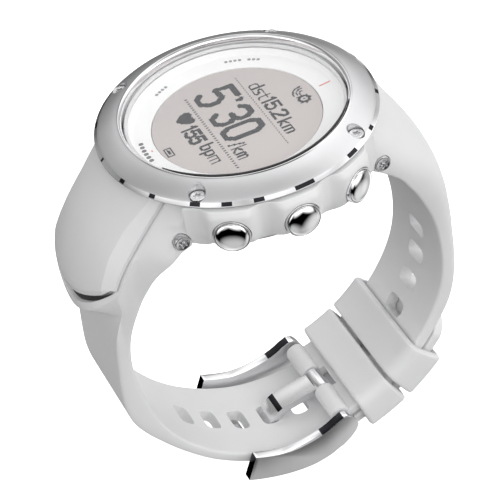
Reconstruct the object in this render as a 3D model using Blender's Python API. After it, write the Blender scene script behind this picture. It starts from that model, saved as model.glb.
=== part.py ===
"""GPS running watch, closed on its strap: sub-parts as separate closed solids.

Frame: metres, +Z up out of the display, +X towards 3 o'clock, +Y towards 12 o'clock.
The origin is the centre of the flat case-back face (z = 0).
"""
import math
import bpy
import bmesh
import numpy as np
from mathutils import Vector

MM = 0.001
GAP = 0.3                     # clearance between pieces that touch, mm

# ---------------------------------------------------------------- case and bezel (mm)
CASE_R_MID = 24.6             # widest radius of the case side, away from the button pods
CASE_R_BOTTOM = 20.4          # radius of the case at its lower edge
CASE_R_ROOT = 21.8            # radius of the case wall behind the strap roots
CASE_Z_BOTTOM = 1.7
CASE_Z_TOP = 11.9
CASE_R_IN = 19.6              # bore that holds the display stack
FLANGE_R_IN = 17.3            # inward flange that the case back screws to
FLANGE_Z_TOP = 3.2
ROOT_HALF_ANGLE = 45.5        # degrees from +X where the strap root recess starts
POD_RISE = 1.75               # extra radius of a button pod
POD_HALF_ANGLE = 12.5         # degrees
BEZEL_R = 25.0
BEZEL_R_IN = 19.84
BEZEL_Z_BOTTOM = 12.2
BEZEL_Z_TOP = 15.3
BEZEL_SCREW_R = 23.0          # pitch radius of the four bezel screws
BEZEL_SCREW_ANGLES = (39.9, 140.1, 219.9, 320.1)
BEZEL_SCREW_HEAD_R = 1.3

# ---------------------------------------------------------------- display stack (mm)
CRYSTAL_R = 19.5
CRYSTAL_Z = (14.1, 15.1)
DIAL_Z = 11.7                 # plane of the flat ring around the display
LCD_R = 14.75                 # visible radius of the display

# ---------------------------------------------------------------- buttons (mm)
BUTTON_ANGLES = (-27.1, 0.0, 27.1, 152.9, 207.1)
BUTTON_Z = 7.15
BUTTON_CAP_R = 2.45
BUTTON_TOP = 27.3             # distance of the dome top from the watch axis
BUTTON_BORE_R = 3.5
BUTTON_FLOOR = 22.6           # distance of the bore floor from the watch axis
STEM_R = 0.8

# ---------------------------------------------------------------- lug screws (mm)
LUG_Y = 18.9
LUG_Z = 4.8
LUG_HEAD_R = 1.6
LUG_BLOCK_HALF = 14.9
LUG_BORE_END = 10.4           # depth of the insert bores, distance from the middle plane
LUG_BLOCK_Y = 22.2

# ---------------------------------------------------------------- strap (mm and degrees)
LOOP_Y, LOOP_Z = 1.0, -24.0   # centre of the round lower part of the strap loop
STRAP_HALF = 10.5             # half width of the strap below the roots
# Both straps are lofted around the loop centre. Each line below gives driving sections as
# (angle, value) pairs; 0 deg points to +Y, 90 deg up to the watch, -90 deg down.
S12_IN = ((-80, 30.95), (-50, 30.95), (-41, 30.35), (-24, 30.35), (5, 29.5), (22, 29.2),
          (40, 30.3), (50, 31.6), (68, 32.0))
S12_OUT = ((-80, 32.95), (-36, 32.95), (-24, 33.3), (-10, 33.2), (0, 33.5), (14, 35.1), (24, 36.7),
           (34, 38.0), (48, 40.2), (57, 43.4), (68, 46.5))
S12_HALF = ((-80, 10.5), (0, 10.5), (12, 11.3), (24, 13.0), (36, 15.2), (50, 17.4), (68, 17.4))
S12_CROWN = ((-80, 0.0), (-24, 0.0), (0, 0.9), (20, 2.6), (36, 3.6), (48, 5.0), (57, 7.0),
             (68, 8.5))
S6_IN = ((112, 30.5), (122, 32.4), (128, 33.4), (134, 33.4), (140, 33.2), (146, 32.5), (156, 31.8),
         (168, 31.5), (190, 31.4), (215, 32.6), (237, 33.3), (262, 33.9), (276, 33.8), (292, 33.25),
         (328, 33.25))
S6_OUT = ((112, 45.0), (124, 41.8), (133, 40.5), (143, 40.0), (153, 39.5), (158, 38.9), (161.5, 38.0),
          (163, 37.3), (165, 35.5), (167, 34.6), (178, 34.0), (186, 34.5), (194, 35.4), (201, 35.9),
          (208, 35.6), (215, 35.2), (223, 35.1), (237, 35.5), (262, 36.2), (276, 36.1), (292, 35.55),
          (328, 35.5))
S6_HALF = ((112, 17.4), (130, 17.4), (139, 15.6), (150, 13.0), (156, 12.3), (161, 11.6), (166, 11.1),
           (172, 10.8), (185, 10.5), (321, 10.5), (325.5, 8.6), (328, 5.0))
S6_CROWN = ((112, 6.5), (124, 5.2), (133, 4.5), (143, 3.3), (153, 2.6), (163, 1.8), (167, 0.6),
            (178, 0.2), (190, 0.0), (328, 0.0))
COVER_RANGE = (118.0, 155.0)  # antenna cover, degrees around the loop centre
COVER_HALF = 12.5
COVER_RISE = 1.75             # outside of the cover above the strap root under it
COVER_THICK = 1.4
SLOT_HALF = 2.8               # half width of a ventilation or tang slot
SLOT_LONG = 3.7
SLOTS_12 = (-5.5, -17.0, -28.5, -40.0, -59.2)
SLOTS_6 = (229.0, 239.5, 250.0, 260.6, 271.0, 281.0, 291.5, 302.0, 312.5)

# ---------------------------------------------------------------- buckle and keepers (mm)
PIVOT_R, PIVOT_DEG = 31.2, -80.0
BAR_R = 0.65
KNUCKLE_R = 1.9
RAIL_IN, RAIL_OUT = 11.4, 13.3
FRAME_END_DEG = -114.3
FRAME_TOP = ((-114.3, 32.5), (-105, 32.5), (-100, 32.2), (-95, 31.6), (-90, 30.9), (-86, 30.2),
             (-82.5, 29.5))
FRAME_LOW = ((-114.3, 37.7), (-102, 37.6), (-95, 37.4), (-88, 36.6), (-83.5, 35.7))
FRAME_NOSE = ((-80.5, 29.25), (-78.8, 29.5), (-77.3, 30.4), (-76.5, 31.6), (-76.6, 32.8), (-78.2, 33.9),
              (-80.5, 34.8))   # angle, radius round the spring bar
FAR_BAR = (36.5, 37.8, -110.5, -106.7)   # r_in, r_out, start, end
TANG_HALF = 2.45
TANG_THICK = 1.3
KEEPER_CENTRES = (-66.55, -51.15)
KEEPER_SPANS = (6.65, 7.25)     # half lengths along the strap, degrees
KEEPER_HALF = 12.6
KEEPER_R = (28.75, 36.75)
KEEPER_HOLE_R = (30.05, 35.85)
KEEPER_HOLE_HALF = 11.3


# ================================================================ small helpers
def clear_scene():
    for ob in list(bpy.data.objects):
        bpy.data.objects.remove(ob, do_unlink=True)


def material(name, colour, metallic, rough, transmission=0.0):
    mat = bpy.data.materials.new(name)
    mat.use_nodes = True
    bsdf = mat.node_tree.nodes["Principled BSDF"]
    bsdf.inputs["Base Color"].default_value = (*colour, 1.0)
    bsdf.inputs["Metallic"].default_value = metallic
    bsdf.inputs["Roughness"].default_value = rough
    bsdf.inputs["Transmission Weight"].default_value = transmission
    mat.diffuse_color = (*colour, 1.0)
    return mat


def smooth(table, x):
    """Monotone cubic through (position, value) pairs."""
    xs = [p[0] for p in table]
    ys = [p[1] for p in table]
    if x <= xs[0]:
        return ys[0]
    if x >= xs[-1]:
        return ys[-1]
    k = max(i for i in range(len(xs) - 1) if xs[i] <= x)
    slopes = [(ys[i + 1] - ys[i]) / (xs[i + 1] - xs[i]) for i in range(len(xs) - 1)]

    def tangent(i):
        if i == 0 or i == len(xs) - 1:
            return 0.0
        a, b = slopes[i - 1], slopes[i]
        return 0.0 if a * b <= 0 else 2 * a * b / (a + b)

    h = xs[k + 1] - xs[k]
    t = (x - xs[k]) / h
    m0, m1 = tangent(k) * h, tangent(k + 1) * h
    return ((2 * t ** 3 - 3 * t ** 2 + 1) * ys[k] + (t ** 3 - 2 * t ** 2 + t) * m0
            + (-2 * t ** 3 + 3 * t ** 2) * ys[k + 1] + (t ** 3 - t ** 2) * m1)


def add(name, verts, faces, mat):
    """Object from vertices in mm."""
    mesh = bpy.data.meshes.new(name)
    mesh.from_pydata([tuple(c * MM for c in v) for v in verts], [], faces)
    bm = bmesh.new()
    bm.from_mesh(mesh)
    bmesh.ops.recalc_face_normals(bm, faces=bm.faces)
    bm.to_mesh(mesh)
    bm.free()
    ob = bpy.data.objects.new(name, mesh)
    bpy.context.scene.collection.objects.link(ob)
    if mat is not None:
        mesh.materials.append(mat)
    return ob


def loft(name, rings, mat, closed=False):
    """Join equal loops of points; caps the two ends unless closed."""
    n, count = len(rings[0]), len(rings)
    verts = [p for ring in rings for p in ring]
    faces = []
    for i in range(count if closed else count - 1):
        j = (i + 1) % count
        for k in range(n):
            m = (k + 1) % n
            faces.append((i * n + k, i * n + m, j * n + m, j * n + k))
    if not closed:
        faces.append(tuple(range(n))[::-1])
        faces.append(tuple((count - 1) * n + k for k in range(n)))
    return add(name, verts, faces, mat)


def revolve(name, profile, segments, mat, place=None, phase=0.0):
    """Turn (radius, height) points about +Z. Points on the axis become poles."""
    verts, rows = [], []
    for r, z in profile:
        if r < 1e-6:
            rows.append([len(verts)] * segments)
            verts.append((0.0, 0.0, z))
        else:
            rows.append(list(range(len(verts), len(verts) + segments)))
            for i in range(segments):
                a = 2 * math.pi * i / segments + phase
                verts.append((r * math.cos(a), r * math.sin(a), z))
    faces = []
    loop = profile[0][0] > 1e-6 and profile[-1][0] > 1e-6
    count = len(rows)
    for i in range(count if loop else count - 1):
        a, b = rows[i], rows[(i + 1) % count]
        for k in range(segments):
            m = (k + 1) % segments
            quad = [a[k], a[m], b[m], b[k]]
            face = [v for q, v in enumerate(quad) if v not in quad[:q]]
            if len(face) > 2:
                faces.append(face)
    if place:
        verts = [tuple(place(v)) for v in verts]
    return add(name, verts, faces, mat)


def cylinder(name, start, end, radius, segments, mat, chamfer=0.0):
    """Solid rod between two points."""
    p, q = Vector(start), Vector(end)
    axis = (q - p).normalized()
    side = Vector((0, 0, 1)) if abs(axis.z) < 0.9 else Vector((1, 0, 0))
    u = axis.cross(side).normalized()
    v = axis.cross(u)
    length = (q - p).length
    stops = [(0.0, radius), (length, radius)]
    if chamfer:
        stops = [(0.0, radius - chamfer), (chamfer, radius), (length - chamfer, radius),
                 (length, radius - chamfer)]
    rings = []
    for d, r in stops:
        ring = []
        for i in range(segments):
            a = 2 * math.pi * i / segments
            ring.append(tuple(p + axis * d + (u * math.cos(a) + v * math.sin(a)) * r))
        rings.append(ring)
    return loft(name, rings, mat)


def box(name, lo, hi, mat, chamfer=0.0):
    x0, y0, z0 = lo
    x1, y1, z1 = hi
    c = chamfer
    outline = [(x0 + c, y0), (x1 - c, y0), (x1, y0 + c), (x1, y1 - c), (x1 - c, y1), (x0 + c, y1),
               (x0, y1 - c), (x0, y0 + c)] if c else [(x0, y0), (x1, y0), (x1, y1), (x0, y1)]
    return loft(name, [[(x, y, z) for x, y in outline] for z in (z0, z1)], mat)


def extrude_x(name, outline, x0, x1, mat):
    """Solid from a (y, z) outline between two x planes."""
    return loft(name, [[(x, y, z) for y, z in outline] for x in (x0, x1)], mat)


def combine(target, tool, operation):
    """Apply one Boolean to target and drop the tool."""
    mod = target.modifiers.new("cut", "BOOLEAN")
    mod.operation = operation
    mod.solver = "EXACT"
    mod.object = tool
    graph = bpy.context.evaluated_depsgraph_get()
    mesh = bpy.data.meshes.new_from_object(target.evaluated_get(graph))
    target.modifiers.clear()
    target.data = mesh
    bpy.data.objects.remove(tool, do_unlink=True)


def weld(ob, distance=0.004):
    """Merge near-coincident corners left by a Boolean (distance in mm)."""
    bm = bmesh.new()
    bm.from_mesh(ob.data)
    bmesh.ops.remove_doubles(bm, verts=bm.verts, dist=distance * MM)
    bmesh.ops.dissolve_degenerate(bm, edges=bm.edges, dist=distance * MM)
    bm.to_mesh(ob.data)
    bm.free()


def loop_point(angle, r, x=0.0):
    """Point at an angle and radius around the strap loop centre."""
    a = math.radians(angle)
    return (x, LOOP_Y + r * math.cos(a), LOOP_Z + r * math.sin(a))


def radial(angle, height=0.0):
    """Maps a local (side, up, out) turning to a button axis in the case."""
    a = math.radians(angle)
    out = Vector((math.cos(a), math.sin(a), 0.0))
    side = Vector((-math.sin(a), math.cos(a), 0.0))
    up = Vector((0.0, 0.0, 1.0))

    def place(v):
        return out * v[2] + side * v[0] + up * (v[1] + height)
    return place


# ================================================================ sub-parts
def case_side_radius(angle, z):
    """Outer radius of the case at an angle (degrees from +X) and a height."""
    base = smooth(((CASE_Z_BOTTOM, CASE_R_BOTTOM), (2.6, 21.9), (4.4, 23.4), (7.0, 24.3),
                   (10.0, CASE_R_MID), (CASE_Z_TOP, CASE_R_MID)), z)
    bump = 0.0
    for b in BUTTON_ANGLES:
        off = abs((angle - b + 180.0) % 360.0 - 180.0) / POD_HALF_ANGLE
        if off < 1.0:
            s = min(1.0, (1.0 - off) * 2.2)
            bump = max(bump, s * s * (3 - 2 * s))
    lift = smooth(((CASE_Z_BOTTOM, 0.15), (4.4, 0.85), (6.2, 1.0), (10.6, 1.0),
                   (CASE_Z_TOP, 0.55)), z)
    return base + POD_RISE * bump * lift


def case_angles():
    """Ring of angles, finer at the pods and at the edges of the strap recesses."""
    quarter = [0.0, 4.5, 8.5, 12.0, 14.8, 18.0, 22.5, 27.1, 31.7, 36.0, 39.6, 42.6,
               ROOT_HALF_ANGLE, ROOT_HALF_ANGLE + 1.0, 54.0, 63.0, 72.0, 81.0, 90.0]
    right = [-a for a in quarter[:0:-1]] + quarter
    return right[1:] + [a + 180.0 for a in right[1:]]


def case_body(mat):
    heights = (CASE_Z_BOTTOM, 2.6, 4.4, 6.6, 10.4, CASE_Z_TOP)
    rings = []
    for a in case_angles():
        c, s = math.cos(math.radians(a)), math.sin(math.radians(a))
        root = abs((a + 360.0) % 180.0 - 90.0) < 90.0 - ROOT_HALF_ANGLE - 0.5
        section = [(CASE_R_ROOT if root else case_side_radius(a, z), z) for z in heights]
        if root:
            section[0] = (CASE_R_BOTTOM, CASE_Z_BOTTOM)
        section += [(CASE_R_IN, CASE_Z_TOP), (CASE_R_IN, FLANGE_Z_TOP),
                    (FLANGE_R_IN, FLANGE_Z_TOP), (FLANGE_R_IN, CASE_Z_BOTTOM)]
        rings.append([(r * c, r * s, z) for r, z in section])
    body = loft("case_body", rings, mat, closed=True)
    for sign in (1, -1):
        lo, hi = sorted((sign * 20.6, sign * LUG_BLOCK_Y))
        block = box("block", (-LUG_BLOCK_HALF, lo, 2.4), (LUG_BLOCK_HALF, hi, 7.2), None)
        combine(body, block, "UNION")
        filler = box("filler", (-LUG_BLOCK_HALF, *sorted((sign * 16.6, sign * 20.8))[:1], 2.4),
                     (LUG_BLOCK_HALF, sorted((sign * 16.6, sign * 20.8))[1], 7.2), None)
        keep = cylinder("keep", (0, 0, 0.0), (0, 0, 10.0), CASE_R_IN + 0.6, 48, None)
        combine(filler, keep, "DIFFERENCE")
        combine(body, filler, "UNION")
        for side in (1, -1):
            combine(body, cylinder("bore", (side * LUG_BORE_END, sign * LUG_Y, LUG_Z),
                                   (side * 20, sign * LUG_Y, LUG_Z), 1.6, 12, None), "DIFFERENCE")
    for a in BUTTON_ANGLES:
        place = radial(a, BUTTON_Z)
        tool = revolve("bore", ((0, 18.5), (STEM_R + GAP, 18.5), (STEM_R + GAP, BUTTON_FLOOR),
                                (BUTTON_BORE_R, BUTTON_FLOOR), (BUTTON_BORE_R, 28.0), (0, 28.0)),
                       16, None, place)
        combine(body, tool, "DIFFERENCE")
    for a in back_screw_angles():
        x, y = 18.6 * math.cos(a), 18.6 * math.sin(a)
        combine(body, cylinder("hole", (x, y, 1.0), (x, y, 3.05), 0.8, 8, None), "DIFFERENCE")
    weld(body)
    return body


def back_screw_angles():
    return [math.radians(a) for a in (45.0, 135.0, 225.0, 315.0)]


def case_back(mat):
    plate = revolve("case_back", ((0, 0.0), (19.2, 0.0), (20.0, 0.6), (20.0, 1.4), (0, 1.4)), 44, mat)
    for a in back_screw_angles():
        x, y = 18.6 * math.cos(a), 18.6 * math.sin(a)
        tool = revolve("tool", ((0, -1), (1.25, -1), (1.25, 0.85), (0.8, 0.85), (0.8, 2), (0, 2)), 10,
                       None, lambda v, x=x, y=y: Vector((v[0] + x, v[1] + y, v[2])))
        combine(plate, tool, "DIFFERENCE")
    for x, y in contact_places():
        combine(plate, cylinder("tool", (x, y, -1), (x, y, 2), 1.2, 10, None), "DIFFERENCE")
    weld(plate)
    return plate


def contact_places():
    return [(x, -12.5) for x in (-5.4, -1.8, 1.8, 5.4)]


def star_screw(name, base, axis, head_r, head_h, shank_r, shank_len, mat, points=6, phase=0.0):
    """Flat-head screw with a star recess; base is the head's outer face centre."""
    n = points * 2
    axis = Vector(axis).normalized()
    helper = Vector((0, 0, 1)) if abs(axis.z) < 0.9 else Vector((1, 0, 0))
    u = axis.cross(helper).normalized()
    v = axis.cross(u)
    base = Vector(base)
    edge = min(0.2, head_h * 0.3)
    rows = [(-head_h * 0.55, "star"), (0.0, "star"), (0.0, head_r - edge), (-edge, head_r),
            (-head_h, head_r), (-head_h, shank_r), (-shank_len, shank_r)]
    rings = []
    for depth, r in rows:
        ring = []
        for i in range(n):
            a = 2 * math.pi * i / n + phase
            rr = head_r * (0.56 if i % 2 == 0 else 0.36) if r == "star" else r
            ring.append(tuple(base + axis * depth + (u * math.cos(a) + v * math.sin(a)) * rr))
        rings.append(ring)
    return loft(name, rings, mat)


def bezel_surface(r):
    """Height of the bezel slope at a radius."""
    return smooth(((20.4, 15.2), (21.5, 14.72), (23.0, 13.85), (24.4, 12.95), (25.0, 12.75)), r)


def bezel(mat):
    ring = revolve("bezel", ((BEZEL_R_IN, BEZEL_Z_BOTTOM), (24.5, BEZEL_Z_BOTTOM), (BEZEL_R, 12.45),
                             (BEZEL_R, 12.7), (24.4, 13.1), (23.0, 13.95), (21.6, 14.75), (20.7, 15.15),
                             (20.4, BEZEL_Z_TOP), (20.1, BEZEL_Z_TOP), (BEZEL_R_IN, 15.05)), 60, mat)
    for a in BEZEL_SCREW_ANGLES:
        x, y = BEZEL_SCREW_R * math.cos(math.radians(a)), BEZEL_SCREW_R * math.sin(math.radians(a))
        tool = revolve("tool", ((0, 11), (0.95, 11), (0.95, 12.65), (1.6, 12.65), (1.6, 17), (0, 17)), 12,
                       None, lambda v, x=x, y=y: Vector((v[0] + x, v[1] + y, v[2])))
        combine(ring, tool, "DIFFERENCE")
    weld(ring)
    return ring


def display_stack(mats):
    revolve("crystal", ((0, CRYSTAL_Z[0]), (CRYSTAL_R, CRYSTAL_Z[0]), (CRYSTAL_R, 14.9),
                        (CRYSTAL_R - 0.2, CRYSTAL_Z[1]), (0, CRYSTAL_Z[1])), 48, mats["glass"])
    revolve("crystal_gasket", ((18.7, 13.3), (19.5, 13.3), (19.5, 13.8), (18.7, 13.8)), 40,
            mats["gasket"])
    revolve("dial_ring", ((15.1, 10.9), (19.3, 10.9), (19.3, 13.0), (18.95, 13.0), (18.75, DIAL_Z),
                          (15.1, DIAL_Z)), 48, mats["white"])
    revolve("lcd_display", ((0, 9.4), (16.5, 9.4), (16.5, 10.6), (LCD_R, 10.6), (LCD_R, 11.55),
                            (0, 11.55)), 40, mats["lcd"])
    revolve("light_guide", ((0, 8.3), (16.5, 8.3), (16.5, 9.1), (0, 9.1)), 32, mats["guide"])
    revolve("inner_chassis", ((17.0, 3.5), (19.2, 3.5), (19.2, 10.6), (17.0, 10.6)), 40, mats["inner"])
    revolve("main_circuit_board", ((0, 6.9), (16.4, 6.9), (16.4, 7.9), (0, 7.9)), 32, mats["board"])
    box("battery", (-10.0, -11.0, 2.5), (10.0, 11.0, 6.5), mats["cell"], 1.2)
    cylinder("buzzer", (13.3, 0, 2.6), (13.3, 0, 4.4), 2.7, 14, mats["brass"])
    box("gps_antenna", (-6.5, -25.2, -0.6), (6.5, -22.8, 2.8), mats["ceramic"])
    revolve("back_gasket", ((16.2, 1.7), (17.0, 1.7), (17.0, 2.5), (16.2, 2.5)), 36, mats["rubber"])


def buttons(steel, spring_mat):
    for i, a in enumerate(BUTTON_ANGLES, 1):
        place = radial(a, BUTTON_Z)
        revolve("button_cap_%d" % i, ((0, 20.7), (STEM_R, 20.7), (STEM_R, 24.9), (BUTTON_CAP_R, 24.9),
                                      (BUTTON_CAP_R, 26.45), (2.1, 26.85), (1.2, 27.2),
                                      (0, BUTTON_TOP)), 16, steel, place)
        revolve("button_collar_%d" % i, ((2.75, 24.2), (3.2, 24.2), (3.2, 26.3), (2.75, 26.3)), 16,
                steel, place)
        coil("button_spring_%d" % i, 1.7, 0.25, 22.95, 24.6, 2.0, place, spring_mat)


def coil(name, radius, wire, start, end, turns, place, mat):
    steps = int(turns * 9)
    rings = []
    for i in range(steps + 1):
        t = i / steps
        a = 2 * math.pi * turns * t
        d = start + wire + (end - start - 2 * wire) * t
        ring = []
        for k in range(4):
            b = math.pi / 4 + k * math.pi / 2
            r = radius + wire * math.cos(b)
            ring.append(tuple(place((r * math.cos(a), r * math.sin(a), d + wire * math.sin(b)))))
        rings.append(ring)
    return loft(name, rings, mat)


def strap_section(angle, r_in, r_out, half, crown, edge=0.5):
    """Closed loop of points across the strap at one angle."""
    across = [-1.0, -0.5, 0.0, 0.5, 1.0]
    pts = [(-half + edge, r_in), (0.0, r_in), (half - edge, r_in), (half, r_in + edge)]
    top = r_out - crown
    pts.append((half, max(top - edge, r_in + edge + 0.2)))
    for k in reversed(across):
        x = k * (half - edge)
        pts.append((x, r_out - crown * (x / half) ** 2))
    pts.append((-half, max(top - edge, r_in + edge + 0.2)))
    pts.append((-half, r_in + edge))
    return [loop_point(angle, r, x) for x, r in pts]


def strap_band(name, angles, tables, mat):
    t_in, t_out, t_half, t_crown = tables
    rings = [strap_section(a, smooth(t_in, a), smooth(t_out, a), smooth(t_half, a),
                           smooth(t_crown, a)) for a in angles]
    return loft(name, rings, mat)


def slot_tool(angle, r0, r1):
    """Block that cuts one slot through a strap."""
    half_deg = math.degrees(SLOT_LONG / 2 / ((r0 + r1) / 2))
    outline = [(-SLOT_HALF, -0.6), (-SLOT_HALF + 0.9, -1.0), (SLOT_HALF - 0.9, -1.0), (SLOT_HALF, -0.6),
               (SLOT_HALF, 0.6), (SLOT_HALF - 0.9, 1.0), (-SLOT_HALF + 0.9, 1.0), (-SLOT_HALF, 0.6)]
    rings = [[loop_point(angle + k * half_deg, r, x) for x, k in outline] for r in (r0, r1)]
    return loft("slot", rings, None)


def case_envelope(extra):
    """Upright block around the case, for clearing the strap roots."""
    outline = []
    for a in case_angles():
        root = abs((a + 360.0) % 180.0 - 90.0) < 90.0 - ROOT_HALF_ANGLE - 0.5
        r = (CASE_R_ROOT if root else 27.5) + extra
        outline.append((r * math.cos(math.radians(a)), r * math.sin(math.radians(a))))
    return loft("envelope", [[(x, y, z) for x, y in outline] for z in (-4.0, 16.0)], None)


def trim_root(band, sign):
    """Fit a strap root under the bezel, around the case wall and over the lug block."""
    tool = case_envelope(GAP + 0.05)
    lo, hi = sorted((sign * 10.0, sign * (LUG_BLOCK_Y + GAP)))
    combine(tool, box("pocket", (-LUG_BLOCK_HALF - GAP, lo, -12.0), (LUG_BLOCK_HALF + GAP, hi, 7.6),
                      None), "UNION")
    combine(tool, box("top", (-40, -40, CASE_Z_TOP), (40, 40, 40), None), "UNION")
    for side in (1, -1):
        sink = revolve("sink", ((0, 12.0), (1.0, 12.0), (1.0, 16.2), (1.9, 16.2), (1.9, 22.0), (0, 22.0)), 12,
                       None, lambda v, side=side: Vector((side * v[2], sign * LUG_Y + v[0], LUG_Z + v[1])))
        combine(tool, sink, "UNION")
    combine(band, tool, "DIFFERENCE")


def angle_steps(stops, step):
    out = []
    for a, b in zip(stops[:-1], stops[1:]):
        n = max(1, round(abs(b - a) / step))
        out += [a + (b - a) * i / n for i in range(n)]
    return out + [stops[-1]]


def strap_twelve(mat):
    """Buckle side: root at 12 o'clock, two knuckles on the spring bar."""
    angles = angle_steps([PIVOT_DEG, -24], 4.7) + angle_steps([-24, 68], 4.2)[1:]
    band = strap_band("strap_buckle_side", angles, (S12_IN, S12_OUT, S12_HALF, S12_CROWN), mat)
    for a in SLOTS_12:
        combine(band, slot_tool(a, 27.5, 38.0), "DIFFERENCE")
    trim_root(band, 1)
    p = loop_point(PIVOT_DEG, PIVOT_R)
    combine(band, cylinder("knuckle", (-10.35, p[1], p[2]), (10.35, p[1], p[2]), KNUCKLE_R, 14,
                           None), "UNION")
    combine(band, cylinder("eye", (-20, p[1], p[2]), (20, p[1], p[2]), BAR_R + GAP, 10, None),
            "DIFFERENCE")
    notch = loft("notch", [[loop_point(a, r, x) for x, r in ((-2.8, 27), (2.8, 27), (2.8, 36), (-2.8, 36))]
                           for a in (-90.0, -74.8)], None)
    combine(band, notch, "DIFFERENCE")
    weld(band)
    return band


def strap_six(mat):
    """Tail side: root at 6 o'clock with the antenna pocket, free end in the keepers."""
    angles = (angle_steps([112, 169], 4.4) + angle_steps([169, 178], 2.2)[1:]
              + angle_steps([178, 321], 4.5)[1:] + [323.5, 325.5, 327.0, 328.0])
    band = strap_band("strap_tail_side", angles, (S6_IN, S6_OUT, S6_HALF, S6_CROWN), mat)
    for a in SLOTS_6:
        combine(band, slot_tool(a, 30.5, 39.0), "DIFFERENCE")
    trim_root(band, -1)
    combine(band, box("pocket", (-6.9, -25.6, -0.95), (6.9, -21.0, 3.15), None), "DIFFERENCE")
    weld(band)
    return band


def antenna_cover(mat):
    """Raised panel over the 6 o'clock strap root."""
    rings = []
    for a in angle_steps([COVER_RANGE[0], COVER_RANGE[1] - 3.5], 4.4) + [COVER_RANGE[1]]:
        half = COVER_HALF
        last = a == COVER_RANGE[1]
        root = smooth(S6_OUT, a)
        crown = smooth(S6_CROWN, a)

        def height(x, a=a, root=root, crown=crown):
            return root - crown * (x / smooth(S6_HALF, a)) ** 2

        low = COVER_RISE - COVER_THICK
        rise = COVER_RISE - (0.9 if last else 0.0)
        pts = [(k * half, height(k * half) + low) for k in (-1.0, -0.5, 0.0, 0.5, 1.0)]
        pts += [(half, height(half) + low + 0.35)]
        pts += [(k * (half - 1.5), height(k * (half - 1.5)) + rise) for k in (1.0, 0.5, 0.0, -0.5, -1.0)]
        pts += [(-half, height(half) + low + 0.35)]
        rings.append([loop_point(a, r, x) for x, r in pts])
    cover = loft("antenna_cover", rings, mat)
    combine(cover, box("top", (-40, -40, CASE_Z_TOP), (40, 40, 40), None), "DIFFERENCE")
    combine(cover, case_envelope(GAP + 0.05), "DIFFERENCE")
    weld(cover)
    return cover


def lug_hardware(steel, brass):
    number = 1
    for sign in (1, -1):
        y = sign * LUG_Y
        for side in (1, -1):
            revolve("lug_insert_%d" % number, ((0.9, 10.8), (1.3, 10.8), (1.3, 14.4), (0.9, 14.4)), 10,
                    brass, lambda v, y=y, side=side: Vector((side * v[2], v[0] + y, v[1] + LUG_Z)))
            star_screw("lug_screw_%d" % number, (side * 17.7, y, LUG_Z), (side, 0, 0), LUG_HEAD_R, 1.15,
                       0.6, 6.2, steel)
            number += 1


def small_screws(steel, gold):
    for i, a in enumerate(BEZEL_SCREW_ANGLES, 1):
        x, y = BEZEL_SCREW_R * math.cos(math.radians(a)), BEZEL_SCREW_R * math.sin(math.radians(a))
        star_screw("bezel_screw_%d" % i, (x, y, 13.65), (0, 0, 1), BEZEL_SCREW_HEAD_R, 0.7, 0.6, 1.4,
                   steel, phase=math.radians(a))
    for i, a in enumerate(back_screw_angles(), 1):
        x, y = 18.6 * math.cos(a), 18.6 * math.sin(a)
        star_screw("case_back_screw_%d" % i, (x, y, 0.05), (0, 0, -1), 0.95, 0.5, 0.5, 2.7, steel, points=4)
    for i, (x, y) in enumerate(contact_places(), 1):
        cylinder("charge_contact_%d" % i, (x, y, 0.1), (x, y, 2.1), 0.85, 10, gold)


def buckle_frame(mat):
    """Two curved rails joined by the far bar, with blind eyes for the spring bar."""
    p = loop_point(PIVOT_DEG, PIVOT_R)
    rails = []
    for side in (1, -1):
        x0, x1 = sorted((side * RAIL_IN, side * RAIL_OUT))
        top = [loop_point(a, smooth(FRAME_TOP, a))[1:] for a in angle_steps([FRAME_END_DEG, -82.5], 5.0)]
        nose = [loop_point(a, r)[1:] for a, r in FRAME_NOSE]
        low = [loop_point(a, smooth(FRAME_LOW, a))[1:] for a in angle_steps([-83.5, FRAME_END_DEG], 5.0)]
        rails.append(extrude_x("rail", top + nose + low, x0, x1, None))
    rails[0].name = "buckle_frame"
    rails[0].data.materials.append(mat)
    r0, r1, a0, a1 = FAR_BAR
    bar = extrude_x("bar", [loop_point(a, r)[1:] for a, r in ((a0, r0 + 0.3), (a0 + 0.7, r0), (a1 - 0.7, r0),
                    (a1, r0 + 0.3), (a1, r1 - 0.3), (a1 - 0.7, r1), (a0 + 0.7, r1), (a0, r1 - 0.3))],
                    -RAIL_OUT + 0.4, RAIL_OUT - 0.4, None)
    combine(rails[0], rails[1], "UNION")
    combine(rails[0], bar, "UNION")
    combine(rails[0], cylinder("eye", (-12.9, p[1], p[2]), (12.9, p[1], p[2]), BAR_R + GAP, 10, None),
            "DIFFERENCE")
    weld(rails[0])
    return rails[0]


def tang_line():
    """Face of the tang towards the wrist, from the spring bar to its tip."""
    line = [(7.0, -53.5), (-2.2, -55.1), (-3.2, -55.6), (-5.4, -57.9)]
    line += [loop_point(-101.9, 36.3)[1:], loop_point(-105.2, 38.1)[1:], loop_point(-113.0, 38.15)[1:]]
    return line


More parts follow.
